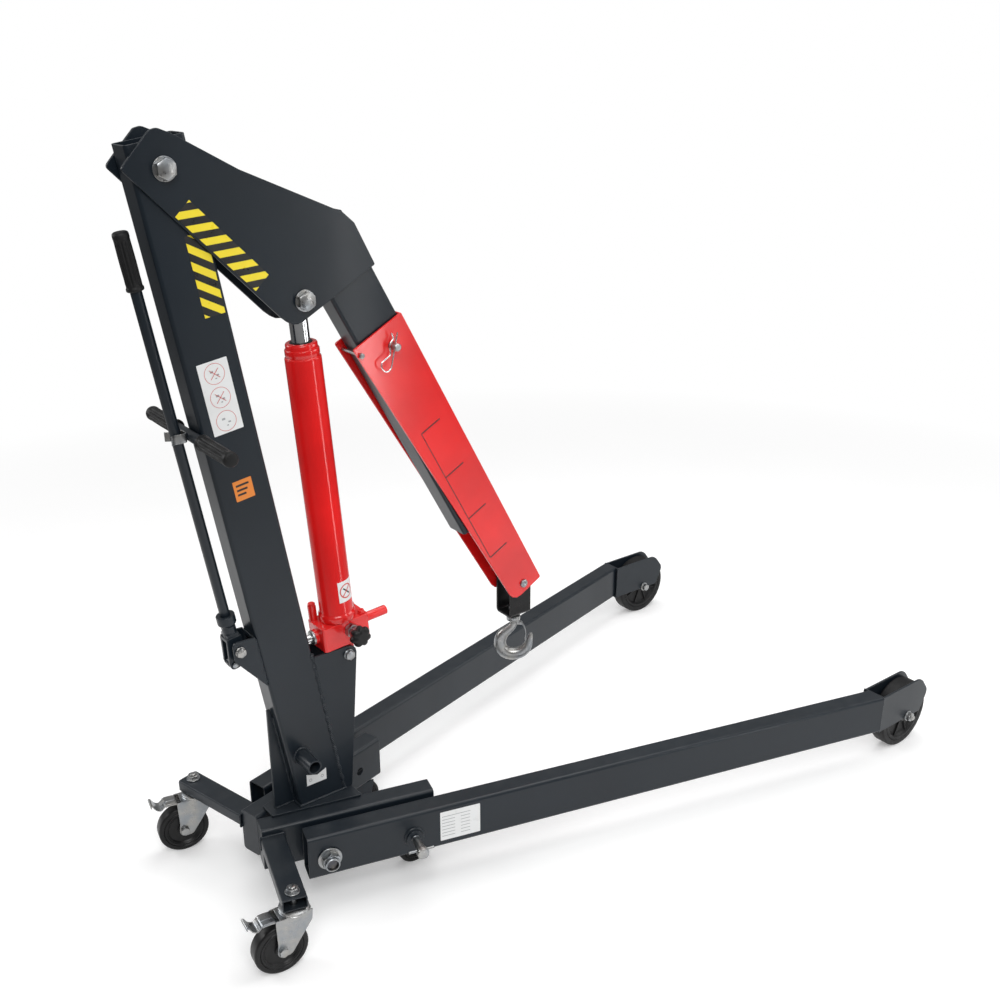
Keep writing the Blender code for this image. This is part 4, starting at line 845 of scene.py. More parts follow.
def make_brake(side, view):
    """The pressed brake pedal: a ribbed plate with side flanges and a curled toe tab."""
    path = smooth_path((
        (-0.0140, 0.1118), (-0.0300, 0.1100), (-0.0380, 0.1125), (-0.0420, 0.1165),
        (-0.0600, 0.1170), (-0.0660, 0.1120), (-0.0720, 0.1080), (-0.0800, 0.1120),
        (-0.0870, 0.1228),
    ), 6)
    body = "caster_brake_" + side
    half = 0.0150
    pedal = prism(ribbon(path, 0.0020), -half, half, view)
    piece("brake_pedal_" + side, pedal, "zinc_plate", body, ("caster_brake_" + side,), 0.0006)
    rib_path = [(u, v + 0.0012) for u, v in path[17:26]]
    rib = prism(ribbon(rib_path, 0.0018), -0.0040, 0.0040, view)
    flange_path = [(u, v - 0.0022) for u, v in path[16:27]]
    flanges = [prism(ribbon(flange_path, 0.0040), low, low + 0.0016, view)
               for low in (-half, half - 0.0016)]
    piece("brake_ribs_" + side, joined(rib, *flanges), "zinc_plate", body, (), 0.0005)
    boss = placed(pivot("caster_brake_press_" + side), Z_AXIS, view.to_3x3().col[0])
    piece("brake_axle_" + side, bar(-0.0154, 0.0154, 0.0034, boss), "zinc_plate", body)
    toe = [(-0.0876 + 0.0024 * math.cos(turn), 0.1206 + 0.0024 * math.sin(turn))
           for turn in [math.radians(90 + 20 * step) for step in range(9)]]
    piece("brake_toe_" + side, prism(ribbon(toe, 0.0018), -half, half, view), "zinc_plate", body,
          (), 0.0005)


# Column fittings

def crosswise_bolt(name, node_name, centre, face, washer_r, washer, half, head_height,
                   nut_height, bolt_r):
    """A bolt along Y: a washered head on the near side and a nut on the far side."""
    where = across(centre)
    piece(name + "_head", head(where, -face - GAP, washer_r, washer, half, head_height),
          "zinc_plate", "base", (node_name,), smooth=30)
    piece(name + "_nut", nut(where, face + GAP, washer_r, washer, half, nut_height,
                             bolt_r * 0.92, 0.0040), "zinc_plate", "base", smooth=30)
    piece(name + "_shank", bar(-face - 0.001, face + 0.001, bolt_r, where), "zinc_plate", "base")


def make_column_bolts():
    crosswise_bolt("boom_pivot", "boom_pivot_bolt", BOOM_PIVOT, BOOM_PLATE_FACE,
                   washer_r=0.0185, washer=0.0024, half=0.0142, head_height=0.0095,
                   nut_height=0.0125, bolt_r=0.0080)
    crosswise_bolt("ram_foot", "ram_base_bolt", RAM_FOOT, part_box("ram_bracket")[1].y,
                   washer_r=0.0105, washer=0.0020, half=0.0085, head_height=0.0068,
                   nut_height=0.0082, bolt_r=0.0070)
    crosswise_bolt("lever_bolt", "lever_pivot_bolt", LEVER_PIVOT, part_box("lever_bracket")[1].y,
                   washer_r=0.0095, washer=0.0018, half=0.0080, head_height=0.0060,
                   nut_height=0.0075, bolt_r=0.0050)


def stub_bolt(name, where, face, node_name):
    """A welded-on pivot bolt whose head stands on a boom plate's outer face."""
    rings = washer_rings(face + GAP, face + 0.0030, 0.0180)
    rings += hex_rings(face + 0.0030, face + 0.0122, 0.0140, False, True)
    both(name, lofted(rings, where), "zinc_plate", "boom", (node_name,), smooth=30)
    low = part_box("boom_plate_left")[0].y
    both(name + "_shank", bar(low - GAP, face + 0.001, 0.0080, where), "zinc_plate", "boom")


def make_push_bar():
    low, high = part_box("push_bar")
    grip_low, grip_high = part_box("push_grip_left")
    bar_x = (grip_low.x + grip_high.x) / 2
    point = Vector((bar_x, 0, (grip_low.z + grip_high.z) / 2))
    where = across(point)
    piece("push_bar_tube", bar(low.y, high.y, 0.0090, where), "anthracite_paint", "base",
          ("push_bar",))
    back = low.x - bar_x
    path = smooth_path((
        (back - 0.0010, 0.0150), (back + 0.0060, 0.0112), (-0.0250, 0.0107), (-0.0150, 0.0107),
        (-0.0090, 0.0080), (-0.0084, 0.0), (-0.0090, -0.0080), (-0.0150, -0.0107),
        (-0.0250, -0.0107), (back + 0.0060, -0.0112), (back - 0.0010, -0.0150),
    ), 5)
    path = [(max(u, back), v) for u, v in path]
    clip = prism(ribbon(path, 0.0018), -0.0080, 0.0080, placed(point, X_AXIS, Y_AXIS))
    piece("lever_clip", clip, "zinc_plate", "base", (), 0.0004)
    both("push_grip_sleeve", grip(where, grip_low.y, grip_high.y), "black_rubber", "base",
         ("push_grip_{}",), smooth=50)


def grip(where, start, end):
    """A moulded sleeve with a flared collar, lengthwise flutes and a domed end."""
    profile = [
        (0.0094, start, 0.0), (0.0128, start, 0.0), (0.0136, start + 0.0010, 0.0),
        (0.0136, start + 0.0045, 0.0), (0.0126, start + 0.0062, 0.0), (0.0123, start + 0.0080, 0.0),
        (0.0124, start + 0.0100, 0.2), (0.0125, start + 0.0120, 1.0),
    ]
    length = end - start
    for step in range(1, 8):
        share = step / 8
        swell = 0.0004 * math.sin(math.pi * share)
        profile.append((0.0122 + swell, start + 0.012 + (length - 0.027) * share, 1.0))
    profile += [
        (0.0122, end - 0.0150, 1.0), (0.0122, end - 0.0130, 0.2), (0.0122, end - 0.0110, 0.0),
        (0.0126, end - 0.0095, 0.0), (0.0126, end - 0.0045, 0.0), (0.0118, end - 0.0018, 0.0),
        (0.0098, end - 0.0004, 0.0), (0.0060, end, 0.0), (0.0, end, 0.0),
    ]
    return turned(profile, where, 120, flutes=12, depth=0.0016)


# Boom fittings

def make_boom_fittings():
    stub_bolt("ram_pivot", across(middle("ram_pivot_stub_left")), BOOM_PLATE_FACE,
              "ram_pivot_stub_{}")
    pin_point = middle("extension_pin")
    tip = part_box("extension_pin")[0].y
    where = across(pin_point)
    face = EXTENSION_FACE
    pin = turned((
        (0.0, tip), (0.0052, tip), (0.0069, tip + 0.0018), (0.0070, tip + 0.0030),
        (0.0070, face + GAP), (0.0098, face + GAP), (0.0105, face + 0.0010),
        (0.0105, face + 0.0040), (0.0098, face + 0.0050), (0.0, face + 0.0050),
    ), where, 64)
    piece("extension_pin_body", pin, "zinc_plate", "extension", ("extension_pin",), smooth=30)
    make_retaining_clip(pin_point)
    bolt = across(middle("extension_bolt"))
    rings = hex_rings(-face - 0.0045, -face - GAP, 0.0045, True, False)
    rings += [disc(-face - GAP, 0.0025), disc(face + GAP, 0.0025)]
    rings += hex_rings(face + GAP, face + 0.0045, 0.0045, False, True)
    piece("extension_bolt_body", lofted(rings, bolt), "zinc_plate", "extension",
          ("extension_bolt",), smooth=30)
    hook_where = across(HOOK_PIN)
    rivet = ((0.0, face + 0.0026), (0.0030, face + 0.0028), (0.0038, face + 0.0040),
             (0.0050, face + 0.0048), (0.0068, face + 0.0046), (0.0084, face + 0.0034),
             (0.0088, face + 0.0020), (0.0088, face + GAP), (0.0060, face + GAP))
    profile = [(radius, -w) for radius, w in rivet] + list(reversed(rivet))
    piece("hook_pin_body", turned(profile, hook_where, 64), "zinc_plate", "extension",
          ("hook_pin",), smooth=30)


def make_retaining_clip(pin_point):
    """A spring wire clip: one straight leg through the pin, the other waved around it."""
    clip_y = middle("retaining_clip").y
    where = placed(Vector((pin_point.x, clip_y, pin_point.z)), X_AXIS, Z_AXIS)
    path = smooth_path((
        (0.0060, 0.0247), (0.0, 0.0), (-0.0060, -0.0250), (-0.0085, -0.0350),
        (-0.0125, -0.0405), (-0.0180, -0.0425), (-0.0240, -0.0400), (-0.0280, -0.0340),
        (-0.0285, -0.0280), (-0.0265, -0.0235), (-0.0120, -0.0150), (-0.0095, -0.0100),
        (-0.0103, -0.0030), (-0.0103, 0.0040), (-0.0080, 0.0090), (-0.0032, 0.0140),
        (-0.0030, 0.0170), (-0.0064, 0.0250),
    ), 5)
    radii = [0.0014] * len(path)
    radii[0] = radii[-1] = 0.0009
    wire = swept(path, radii, where, 14)
    piece("retaining_clip_wire", wire, "polished_chrome", "extension", ("retaining_clip",))


def make_hook_block():
    """A bent steel shackle: two cheeks on the hook pin, joined by a floor under it."""
    low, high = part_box("hook_block")
    half_x = (high.x - low.x) / 2
    half_y = high.y
    sheet = 0.0050
    bend = 0.0090
    outer = rounded(((-half_y, high.z), (-half_y, low.z, bend), (half_y, low.z, bend),
                     (half_y, high.z)), 8)
    inner = rounded(((half_y - sheet, high.z), (half_y - sheet, low.z + sheet, bend - sheet),
                     (sheet - half_y, low.z + sheet, bend - sheet), (sheet - half_y, high.z)), 8)
    where = placed(Vector((HOOK_PIN.x, 0, 0)), Y_AXIS, Z_AXIS)
    channel = prism(outer + inner, -half_x, half_x, where)
    piece("hook_shackle", channel, "black_plastic", "hook_block", ("hook_block",), 0.0012)
    bush = turned(((0.0063, -0.0198), (0.0100, -0.0198), (0.0100, 0.0198), (0.0063, 0.0198)),
                  across(HOOK_PIN), 64, closed=True)
    piece("hook_pin_bush", bush, "zinc_plate", "hook_block", smooth=30)


def make_hook():
    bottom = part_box("hook_block")[0].z
    shank = turned((
        (0.0, 0.3800), (0.0050, 0.3800), (0.0070, 0.3850), (0.0083, 0.3920), (0.0100, 0.3925),
        (0.0139, 0.3930), (0.0145, 0.3940), (0.0145, 0.4018), (0.0139, 0.4028),
        (0.0100, 0.4032), (0.0060, 0.4036), (0.0060, bottom + 0.0055),
    ), HOOK_AXIS, 72)
    piece("hook_shank", shank, "zinc_plate", "hook", smooth=34)
    rings = hex_rings(bottom + 0.0055, bottom + 0.0155, 0.0100)
    piece("hook_nut", lofted(rings, HOOK_AXIS), "zinc_plate", "hook", smooth=30)
    knots = (
        (0.0010, 0.3890, 0.0070), (-0.0010, 0.3790, 0.0078), (-0.0090, 0.3700, 0.0093),
        (-0.0190, 0.3610, 0.0110), (-0.0260, 0.3500, 0.0122), (-0.0283, 0.3380, 0.0128),
        (-0.0262, 0.3260, 0.0130), (-0.0195, 0.3165, 0.0131), (-0.0090, 0.3112, 0.0132),
        (0.0030, 0.3105, 0.0131), (0.0145, 0.3135, 0.0125), (0.0235, 0.3195, 0.0114),
        (0.0295, 0.3275, 0.0100), (0.0330, 0.3370, 0.0082), (0.0352, 0.3470, 0.0062),
        (0.0372, 0.3560, 0.0042), (0.0382, 0.3605, 0.0022),
    )
    path = smooth_path(knots, 5)
    places = [(u, v) for u, v, radius in path]
    radii = [radius for u, v, radius in path]
    forged = swept(places, radii, HOOK, 28, flat=0.86, exponent=2.5)
    piece("hook_bowl", forged, "zinc_plate", "hook", ("hook",))
    lug_u, lug_z = 0.0132, 0.3855
    ear = rounded((
        (0.0, 0.3800), (lug_u, 0.3800, 0.0042), (lug_u + 0.0048, 0.3858, 0.0042),
        (lug_u, 0.3905, 0.0042), (0.0, 0.3915),
    ), 5)
    piece("hook_lug", prism(ear, -0.0024, 0.0024, HOOK), "zinc_plate", "hook", (), 0.0007)
    strap = smooth_path((
        (lug_u + 0.0012, lug_z + 0.0030), (0.0190, 0.3830), (0.0240, 0.3730),
        (0.0266, 0.3610), (0.0264, 0.3510), (0.0254, 0.3452),
    ), 6)
    latch = prism(ribbon(strap, 0.0013), -0.0052, 0.0052, HOOK)
    piece("hook_latch_strap", latch, "zinc_plate", "hook_latch", ("hook_latch",), 0.0004)
    cheek = rounded(((lug_u - 0.0040, lug_z - 0.0035, 0.0034), (lug_u + 0.0050, lug_z - 0.0045),
                     (lug_u + 0.0068, lug_z - 0.0010), (lug_u + 0.0010, lug_z + 0.0040, 0.0034)))
    sides = joined(prism(cheek, 0.0030, 0.0043, HOOK), prism(cheek, -0.0043, -0.0030, HOOK))
    piece("hook_latch_cheeks", sides, "zinc_plate", "hook_latch", (), 0.0003)
    axle = placed(HOOK_FOOT + HOOK_U * lug_u + Z_AXIS * lug_z, HOOK_U, Z_AXIS)
    piece("hook_latch_rivet", bar(-0.0054, 0.0054, 0.0017, axle, 24), "zinc_plate", "hook_latch")


# Ram

def ram_across(fore, up):
    return across(RAM_FOOT + RAM_FORE * fore + RAM_UP * up)


def ram_forward(up, y):
    return placed(RAM_FOOT + RAM_UP * up + Y_AXIS * y, Y_AXIS, RAM_UP)


def make_ram():
    start, top = 0.0703, 0.600
    cylinder = turned((
        (0.0, start), (0.0322, start), (0.0338, start + 0.0012), (0.0345, start + 0.0040),
        (0.0345, start + 0.0120), (0.0336, start + 0.0145), (0.0320, start + 0.0160),
        (0.0315, start + 0.0175), (0.0315, top - 0.0270), (0.0311, top - 0.0256),
        (0.0300, top - 0.0250), (0.0292, top - 0.0240), (0.0292, top - 0.0215),
        (0.0298, top - 0.0205), (0.0298, top - 0.0120), (0.0292, top - 0.0108),
        (0.0277, top - 0.0100), (0.0275, top - 0.0085), (0.0275, top - 0.0025),
        (0.0265, top - 0.0008), (0.0250, top), (0.0200, top), (0.0190, top - 0.0012),
    ), RAM, 96)
    piece("ram_tube", cylinder, "red_paint", "ram", ("ram_cylinder",), smooth=34)
    wiper = turned(((0.0163, top - 0.0010), (0.0192, top - 0.0010), (0.0188, top + 0.0012),
                    (0.0166, top + 0.0018)), RAM, 64, closed=True)
    piece("ram_wiper", wiper, "black_rubber", "ram", smooth=34)
    eye = RAM_LENGTH
    chrome = turned(((0.0, 0.30), (0.0160, 0.30), (0.0160, eye - 0.022), (0.0148, eye - 0.019),
                     (0.0, eye - 0.019)), RAM, 72)
    piece("ram_rod_bar", chrome, "polished_chrome", "ram_rod", ("ram_rod",), smooth=34)
    piece("ram_rod_eye", turned((
        (0.0084, -0.0240), (0.0210, -0.0240), (0.0220, -0.0230), (0.0220, 0.0230),
        (0.0210, 0.0240), (0.0084, 0.0240)), ram_across(0, eye), 72, closed=True),
        "polished_chrome", "ram_rod", smooth=34)
    make_ram_fittings()
    make_release_knob()
    make_plunger()


def make_ram_fittings():
    """Plugs, valve caps and screws on the pump block."""
    upright = placed(RAM_FOOT - RAM_FORE * 0.0395 + Y_AXIS * 0.0205, RAM_FORE, Y_AXIS)
    screw = washer_rings(0.0705, 0.0722, 0.0075) + [disc(0.0722, 0.0060), disc(0.0762, 0.0060),
                                                   disc(0.0768, 0.0054), disc(0.0768, 0.0030),
                                                   disc(0.0745, 0.0028)]
    for name, place in (("far", 0.0185), ("near", -0.0185)):
        spot = placed(RAM_FOOT + RAM_FORE * 0.0405 + Y_AXIS * place, RAM_FORE, Y_AXIS)
        piece("ram_screw_" + name, lofted(screw, spot), "red_paint", "ram", smooth=30)
    piece("ram_valve_cap", lofted(
        hex_rings(0.1002, 0.1030, 0.0070) + [disc(0.1030, 0.0052), disc(0.1038, 0.0052)]
        + washer_rings(0.1038, 0.1052, 0.0066) + [disc(0.1052, 0.0045), disc(0.1062, 0.0045)],
        upright), "red_paint", "ram", smooth=30)


def make_release_knob():
    """A lobed valve knob on a knurled stem and a hexagonal gland."""
    centre = pivot("release_knob_turn")
    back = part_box("release_knob")[0].y - centre.y
    lobes = 7

    def lobed(w, size, depth):
        return ring_points(w, 140, lambda turn: size - depth * (
            0.5 - 0.5 * math.cos(lobes * turn)) ** 1.6)

    rings = [lobed(back + 0.0004, 0.0080, 0.0)]
    for share, size in ((0.0, 0.0120), (0.10, 0.0165), (0.25, 0.0192), (0.5, 0.0206),
                        (0.75, 0.0208), (0.92, 0.0198), (1.0, 0.0178)):
        rings.append(lobed(back + 0.0004 + 0.0172 * share, size, 0.0048 * min(1.0, 0.4 + share)))
    rings += [lobed(back + 0.0180, 0.0110, 0.0), lobed(back + 0.0205, 0.0105, 0.0)]
    where = placed(centre, Z_AXIS, X_AXIS)
    piece("release_knob_star", lofted(rings, where), "black_plastic", "release_knob",
          ("release_knob",), smooth=50)
    knurl = []
    where = across(centre)
    for w, size, cut in ((-0.0575, 0.0112, 0.0), (-0.0570, 0.0122, 0.0010),
                         (-0.0470, 0.0122, 0.0010), (-0.0465, 0.0112, 0.0),
                         (-0.0465, 0.0085, 0.0), (-0.0440, 0.0085, 0.0)):
        knurl.append(ring_points(w, 72, lambda turn, size=size, cut=cut: size - cut * (
            0.5 + 0.5 * math.cos(18 * turn))))
    knurl += hex_rings(-0.0440, -0.0310, 0.0118)
    piece("release_stem", lofted(knurl, where), "zinc_plate", "release_knob", smooth=30)


def make_plunger():
    where = ram_forward(PLUNGER_UP, 0)
    rod = turned(((0.0, -0.0800), (0.0050, -0.0800), (0.0068, -0.0785), (0.0070, -0.0775),
                  (0.0070, -0.0300), (0.0, -0.0300)), where, 48)
    piece("pump_plunger_rod", rod, "polished_chrome", "pump_plunger", ("pump_plunger",))
    seal = turned(((0.0073, -0.0592), (0.0120, -0.0592), (0.0134, -0.0586), (0.0140, -0.0570),
                   (0.0140, -0.0545), (0.0073, -0.0545)), where, 64, closed=True)
    piece("pump_gland", seal, "zinc_plate", "ram", smooth=30)


# Pump lever

def make_lever():
    tube = turned((
        (0.0, 0.0275), (0.0088, 0.0275), (0.0090, 0.0280), (0.0090, 0.7300), (0.0, 0.7300),
    ), LEVER, 64)
    piece("lever_tube_bar", tube, "anthracite_paint", "lever", ("lever_tube",))
    piece("lever_grip_sleeve", grip(LEVER, 0.6480, 0.7380), "black_rubber", "lever",
          ("lever_grip",), smooth=50)
    pin = across(pivot("pump_link_level"))
    rings = [disc(-0.0178, 0.0042), disc(-0.0172, 0.0056), disc(-0.0144, 0.0056),
             disc(-0.0144, 0.0038), disc(0.0144, 0.0038), disc(0.0144, 0.0056),
             disc(0.0172, 0.0056), disc(0.0178, 0.0042)]
    piece("lever_link_pin", lofted(rings, pin), "zinc_plate", "lever", smooth=30)


# Welds

def make_welds():
    half_x = (COLUMN_HALF_DEPTH + 0.0006) / math.cos(COLUMN_LEAN)
    half_y = COLUMN_HALF_WIDTH + 0.0006
    foot = COLUMN_FOOT_X - COLUMN_BOTTOM * math.tan(COLUMN_LEAN)
    z = COLUMN_BOTTOM + 0.0006
    weld_bead("weld_column_foot", (
        (foot - half_x, -half_y, z), (foot + half_x, -half_y, z),
        (foot + half_x, half_y, z), (foot - half_x, half_y, z),
    ), "base", 0.0030, closed=True)
    low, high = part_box("column_gusset")
    for side, y in (("near", low.y - 0.0006), ("far", high.y + 0.0006)):
        weld_bead("weld_gusset_foot_" + side, ((low.x, y, z), (foot - half_x, y, z)), "base")
        up = COLUMN @ Vector((-COLUMN_HALF_DEPTH, 0, (high.z - 0.008) / math.cos(COLUMN_LEAN)))
        weld_bead("weld_gusset_rise_" + side, ((foot - half_x, y, z), (up.x, y, up.z)), "base")
    low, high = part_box("ram_bracket")
    for side, y in (("near", low.y + 0.0030), ("far", high.y - 0.0030)):
        top = COLUMN @ Vector((COLUMN_HALF_DEPTH - 0.0020, 0, high.z / math.cos(COLUMN_LEAN)))
        weld_bead("weld_bracket_rise_" + side,
                  ((foot + half_x - 0.0020, y, z), (top.x, y, top.z)), "base", 0.0045)
        weld_bead("weld_bracket_foot_" + side,
                  ((foot + half_x, y, z), (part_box("base_plate")[1].x, y, z)), "base", 0.0022)
    stow = middle("stow_tube")
    ring = [(stow.x + 0.0150 * math.cos(turn), stow.z + 0.0150 * math.sin(turn))
            for turn in [2 * math.pi * step / 36 for step in range(36)]]
    for side, y in (("near", -half_y), ("far", half_y)):
        weld_bead("weld_stow_" + side, [(x, y, height) for x, height in ring], "base", 0.0030,
                  closed=True)
    make_leg_welds()
    make_plate_welds()


def weld_pair(name, points, body, radius=0.0022, closed=False):
    """A weld bead on the left and its mirror image on the right."""
    for side, mirror in (("left", 1), ("right", -1)):
        spots = [Vector((x, y * mirror, z)) for x, y, z in points]
        weld_bead(f"{name}_{side}", spots, body.format(side), radius, closed)


def make_leg_welds():
    low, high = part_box("leg_wheel_fork_left")
    x = low.x - 0.0002
    weld_pair("weld_leg_tip", (
        (x, low.y + 0.002, TUBE_BOTTOM - 0.0002), (x, high.y - 0.002, TUBE_BOTTOM - 0.0002),
        (x, high.y - 0.0005, high.z), (x, low.y + 0.0005, high.z),
    ), "leg_{}", 0.0020, closed=True)
    low_z, high_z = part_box("caster_arm_left")[0].z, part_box("caster_arm_left")[1].z
    back, fore = -0.115, -0.070
    corners = [leg_point(along, RAIL_OUTER - 0.0006, height) for along, height in (
        (back, low_z), (fore, low_z), (fore, high_z), (back, high_z))]
    weld_pair("weld_caster_arm", corners, "base", 0.0022, closed=True)


def make_plate_welds():
    """Beads along the edges of the base plate on the rails, and of the lever bracket."""
    plate_low, plate_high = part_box("base_plate")
    z = plate_low.z + 0.0006
    weld_pair("weld_plate_front", (
        (plate_high.x + 0.0004, 0.030, z), (plate_high.x + 0.0004, 0.058, z)), "base")
    low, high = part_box("lever_bracket")
    face = high.y + GAP
    for side, y in (("near", -face), ("far", face)):
        ends = []
        for height in (low.z + 0.006, high.z - 0.006):
            ends.append(COLUMN @ Vector((-COLUMN_HALF_DEPTH - 0.0004, 0,
                                         height / math.cos(COLUMN_LEAN) + 0.008)))
        weld_bead("weld_lever_bracket_" + side, [(end.x, y - math.copysign(0.0022, y), end.z)
                                                 for end in ends], "base", 0.0022)


# Stickers: thin films standing just off the painted faces

FILM = 0.00018
STANDOFF = 0.0001


def film(name, outline, look, body, where, face, holes=()):
    """A sticker on a face at distance face along w, raised by the thickness of its film."""
    piece(name, prism(outline, face, face + FILM, where, holes), look, body)


def slanted(start, width, low, high, slope, left, right):
    """A stripe of a hazard band clipped to low..high along the band, left..right across it."""
    def clipped(points, inside, crossing):
        kept = []
        for index, point in enumerate(points):
            before = points[index - 1]
            if inside(point) != inside(before):
                kept.append(crossing(before, point))
            if inside(point):
                kept.append(point)
        return kept

    def at(limit):
        def crossing(one, other):
            share = (limit - one[0]) / (other[0] - one[0])
            return (limit, one[1] + (other[1] - one[1]) * share)
        return crossing

    rise = slope * (right - left)
    points = [(start, left), (start + width, left), (start + width + rise, right),
              (start + rise, right)]
    points = clipped(points, lambda point: point[0] >= low, at(low))
    return clipped(points, lambda point: point[0] <= high, at(high))


def hazard_band(name, low, high, left, right, first, pitch, slope, body, where, face):
    """Yellow slanted stripes on a black film, along u from low to high."""
    film(name + "_ground", rectangle(low, high, left, right), "label_black", body, where, face)
    start = first
    index = 1
    while start + min(0.0, slope * (right - left)) < high:
        outline = slanted(start, pitch * 0.5, low, high, slope, left, right)
        if len(outline) > 2:
            film(f"{name}_stripe_{index}", outline, "label_yellow", body, where, face + FILM)
            index += 1
        start += pitch


def make_boom_stickers():
    tilt = math.radians(15.8)
    band_u = BOOM_U * math.cos(tilt) + BOOM_V * math.sin(tilt)
    band_v = BOOM_V * math.cos(tilt) - BOOM_U * math.sin(tilt)
    near = placed(BOOM_PIVOT, band_u, band_v)
    face = BOOM_PLATE_FACE + STANDOFF
    hazard_band("boom_band", 0.0563, 0.2292, -0.0420, -0.0085, 0.0190, 0.0290, 0.827, "boom",
                near, face)


def make_column_stickers():
    face = COLUMN_HALF_WIDTH + STANDOFF
    band = placed(Vector((COLUMN_FOOT_X, 0, 0)), COLUMN_UP, -COLUMN_FORE)
    hazard_band("column_band", 1.1390, 1.2680, -0.0418, -0.0070, 1.1060, 0.0280, 0.735, "base",
                band, face)
    make_pictogram_label(face)
    orange = rectangle(-0.0182, 0.0161, 0.8256, 0.8618, 0.001)
    film("column_tag_orange", orange, "label_orange", "base", NEAR_SIDE, face)
    for index, height in enumerate((0.8530, 0.8445, 0.8365)):
        bar_outline = rectangle(-0.0135, 0.0100 - 0.004 * index, height - 0.0018, height + 0.0018,
                                0.0008)
        film(f"column_tag_bar_{index + 1}", bar_outline, "label_black", "base", NEAR_SIDE,
             face + FILM)
    stow = middle("stow_tube")
    plate = placed(ORIGIN, X_AXIS, Z_AXIS)
    side = rounded(((stow.x + 0.0070, stow.z - 0.0730), (stow.x + 0.0490, stow.z - 0.0730),
                    (stow.x + 0.0490, stow.z - 0.0480), (stow.x + 0.0300, stow.z - 0.0560),
                    (stow.x + 0.0070, stow.z - 0.0480)))
    film("stow_label", side, "label_white", "base", plate, face)
    for index, shift in enumerate((0.0150, 0.0400)):
        ring = circle(stow.x + shift, stow.z - 0.0625, 0.0032, 24)
        hole = circle(stow.x + shift, stow.z - 0.0625, 0.0022, 24)
        film(f"stow_label_ring_{index + 1}", ring, "label_grey", "base", plate, face + FILM,
             holes=(hole,))


def make_pictogram_label(face):
    """A white label with three round pictograms, the upper two struck out; blank of any text."""
    left, right, low, high = -0.0270, 0.0255, 0.9483, 1.0711
    film("pictogram_label", rectangle(left, right, low, high, 0.0012), "label_white", "base",
         NEAR_SIDE, face)
    centre = (left + right) / 2
    for index in range(3):
        height = high - 0.0215 - 0.0405 * index
        ring = circle(centre, height, 0.0175)
        hole = circle(centre, height, 0.0168)
        film(f"pictogram_ring_{index + 1}", ring, "label_red", "base", NEAR_SIDE, face + FILM,
             holes=(hole,))
        for mark, (u, v, size) in enumerate(((-0.004, 0.004, 0.0028), (0.005, -0.003, 0.0022),
                                             (0.001, -0.008, 0.0016))):
            dot = rectangle(centre + u - size, centre + u + size, height + v - size * 0.6,
                            height + v + size * 0.6, 0.0006)
            film(f"pictogram_mark_{index + 1}_{mark + 1}", dot, "label_grey", "base", NEAR_SIDE,
                 face + FILM)
        if index == 2:
            continue
        for name, slope in (("a", 1), ("b", -1)):
            reach = 0.0080
            cross = ribbon(((centre - reach, height - reach * slope),
                            (centre + reach, height + reach * slope)), 0.0009)
            film(f"pictogram_cross_{index + 1}{name}", cross, "label_red", "base", NEAR_SIDE,
                 face + FILM * (2 + (name == "b")))


def make_leg_stickers():
    """A blank data plate on the outer face of the near leg."""
    near = MIRROR @ placed(leg_point(0, 0, 0), ALONG, Z_AXIS)
    outer = placed(near.translation, near.to_3x3().col[0], Z_AXIS)
    film("data_plate", rectangle(0.2180, 0.3000, 0.0900, 0.1550, 0.0015), "label_white",
         "leg_right", outer, STANDOFF)
    for row in range(7):
        height = 0.1440 - row * 0.0074
        for column, (start, end) in enumerate(((0.2215, 0.2480), (0.2600, 0.2790))):
            if row == 0 and column == 0:
                end = 0.2800
            if row == 0 and column == 1:
                continue
            line = rectangle(start, end, height - 0.0006, height + 0.0006)
            film(f"data_line_{row + 1}_{column + 1}", line, "label_grey", "leg_right", outer,
                 STANDOFF + FILM)


SIGN_HEIGHT = 0.133


def make_ram_sticker():
    """A white sign wrapped on the ram's tube: a struck-out spanner in a red ring."""
    radius = 0.0315 + STANDOFF
    turn_middle = math.radians(-72.0)

    def bent(mesh):
        """Wraps a flat film (arc length, height, depth) around the tube."""
        for vertex in mesh.vertices:
            arc, height, depth = vertex.co
            turn = turn_middle + arc / radius
            reach = radius + depth
            vertex.co = (reach * math.cos(turn), reach * math.sin(turn), height)
        mesh.transform(RAM)
        return cleaned(mesh)

    def grid_film(name, left, right, low, high, look, depth):
        rows = []
        count = 14
        for step in range(count + 1):
            arc = left + (right - left) * step / count
            rows.append([(arc, low, depth), (arc, high, depth), (arc, high, depth + FILM),
                         (arc, low, depth + FILM)])
        piece(name, bent(lofted(rows, Matrix.Identity(4))), look, "ram", smooth=50)

    def ring_film(name, outer, inner, look, depth):
        rings = []
        for size, lift in ((outer, 0.0), (outer, FILM), (inner, FILM), (inner, 0.0)):
            rings.append([(size * math.cos(turn), SIGN_HEIGHT + size * math.sin(turn), depth + lift)
                          for turn in [2 * math.pi * step / 48 for step in range(48)]])
        piece(name, bent(lofted(rings, Matrix.Identity(4), closed=True)), look, "ram", smooth=50)

    grid_film("ram_sign", -0.0170, 0.0170, SIGN_HEIGHT - 0.021, SIGN_HEIGHT + 0.021, "label_white",
              0.0)
    ring_film("ram_sign_ring", 0.0145, 0.0122, "label_red", FILM)
    stroke(bent, "ram_sign_tool", 0.0026, 0.0190, -45, "label_black", FILM)
    stroke(bent, "ram_sign_bar", 0.0020, 0.0250, 45, "label_red", FILM * 2)


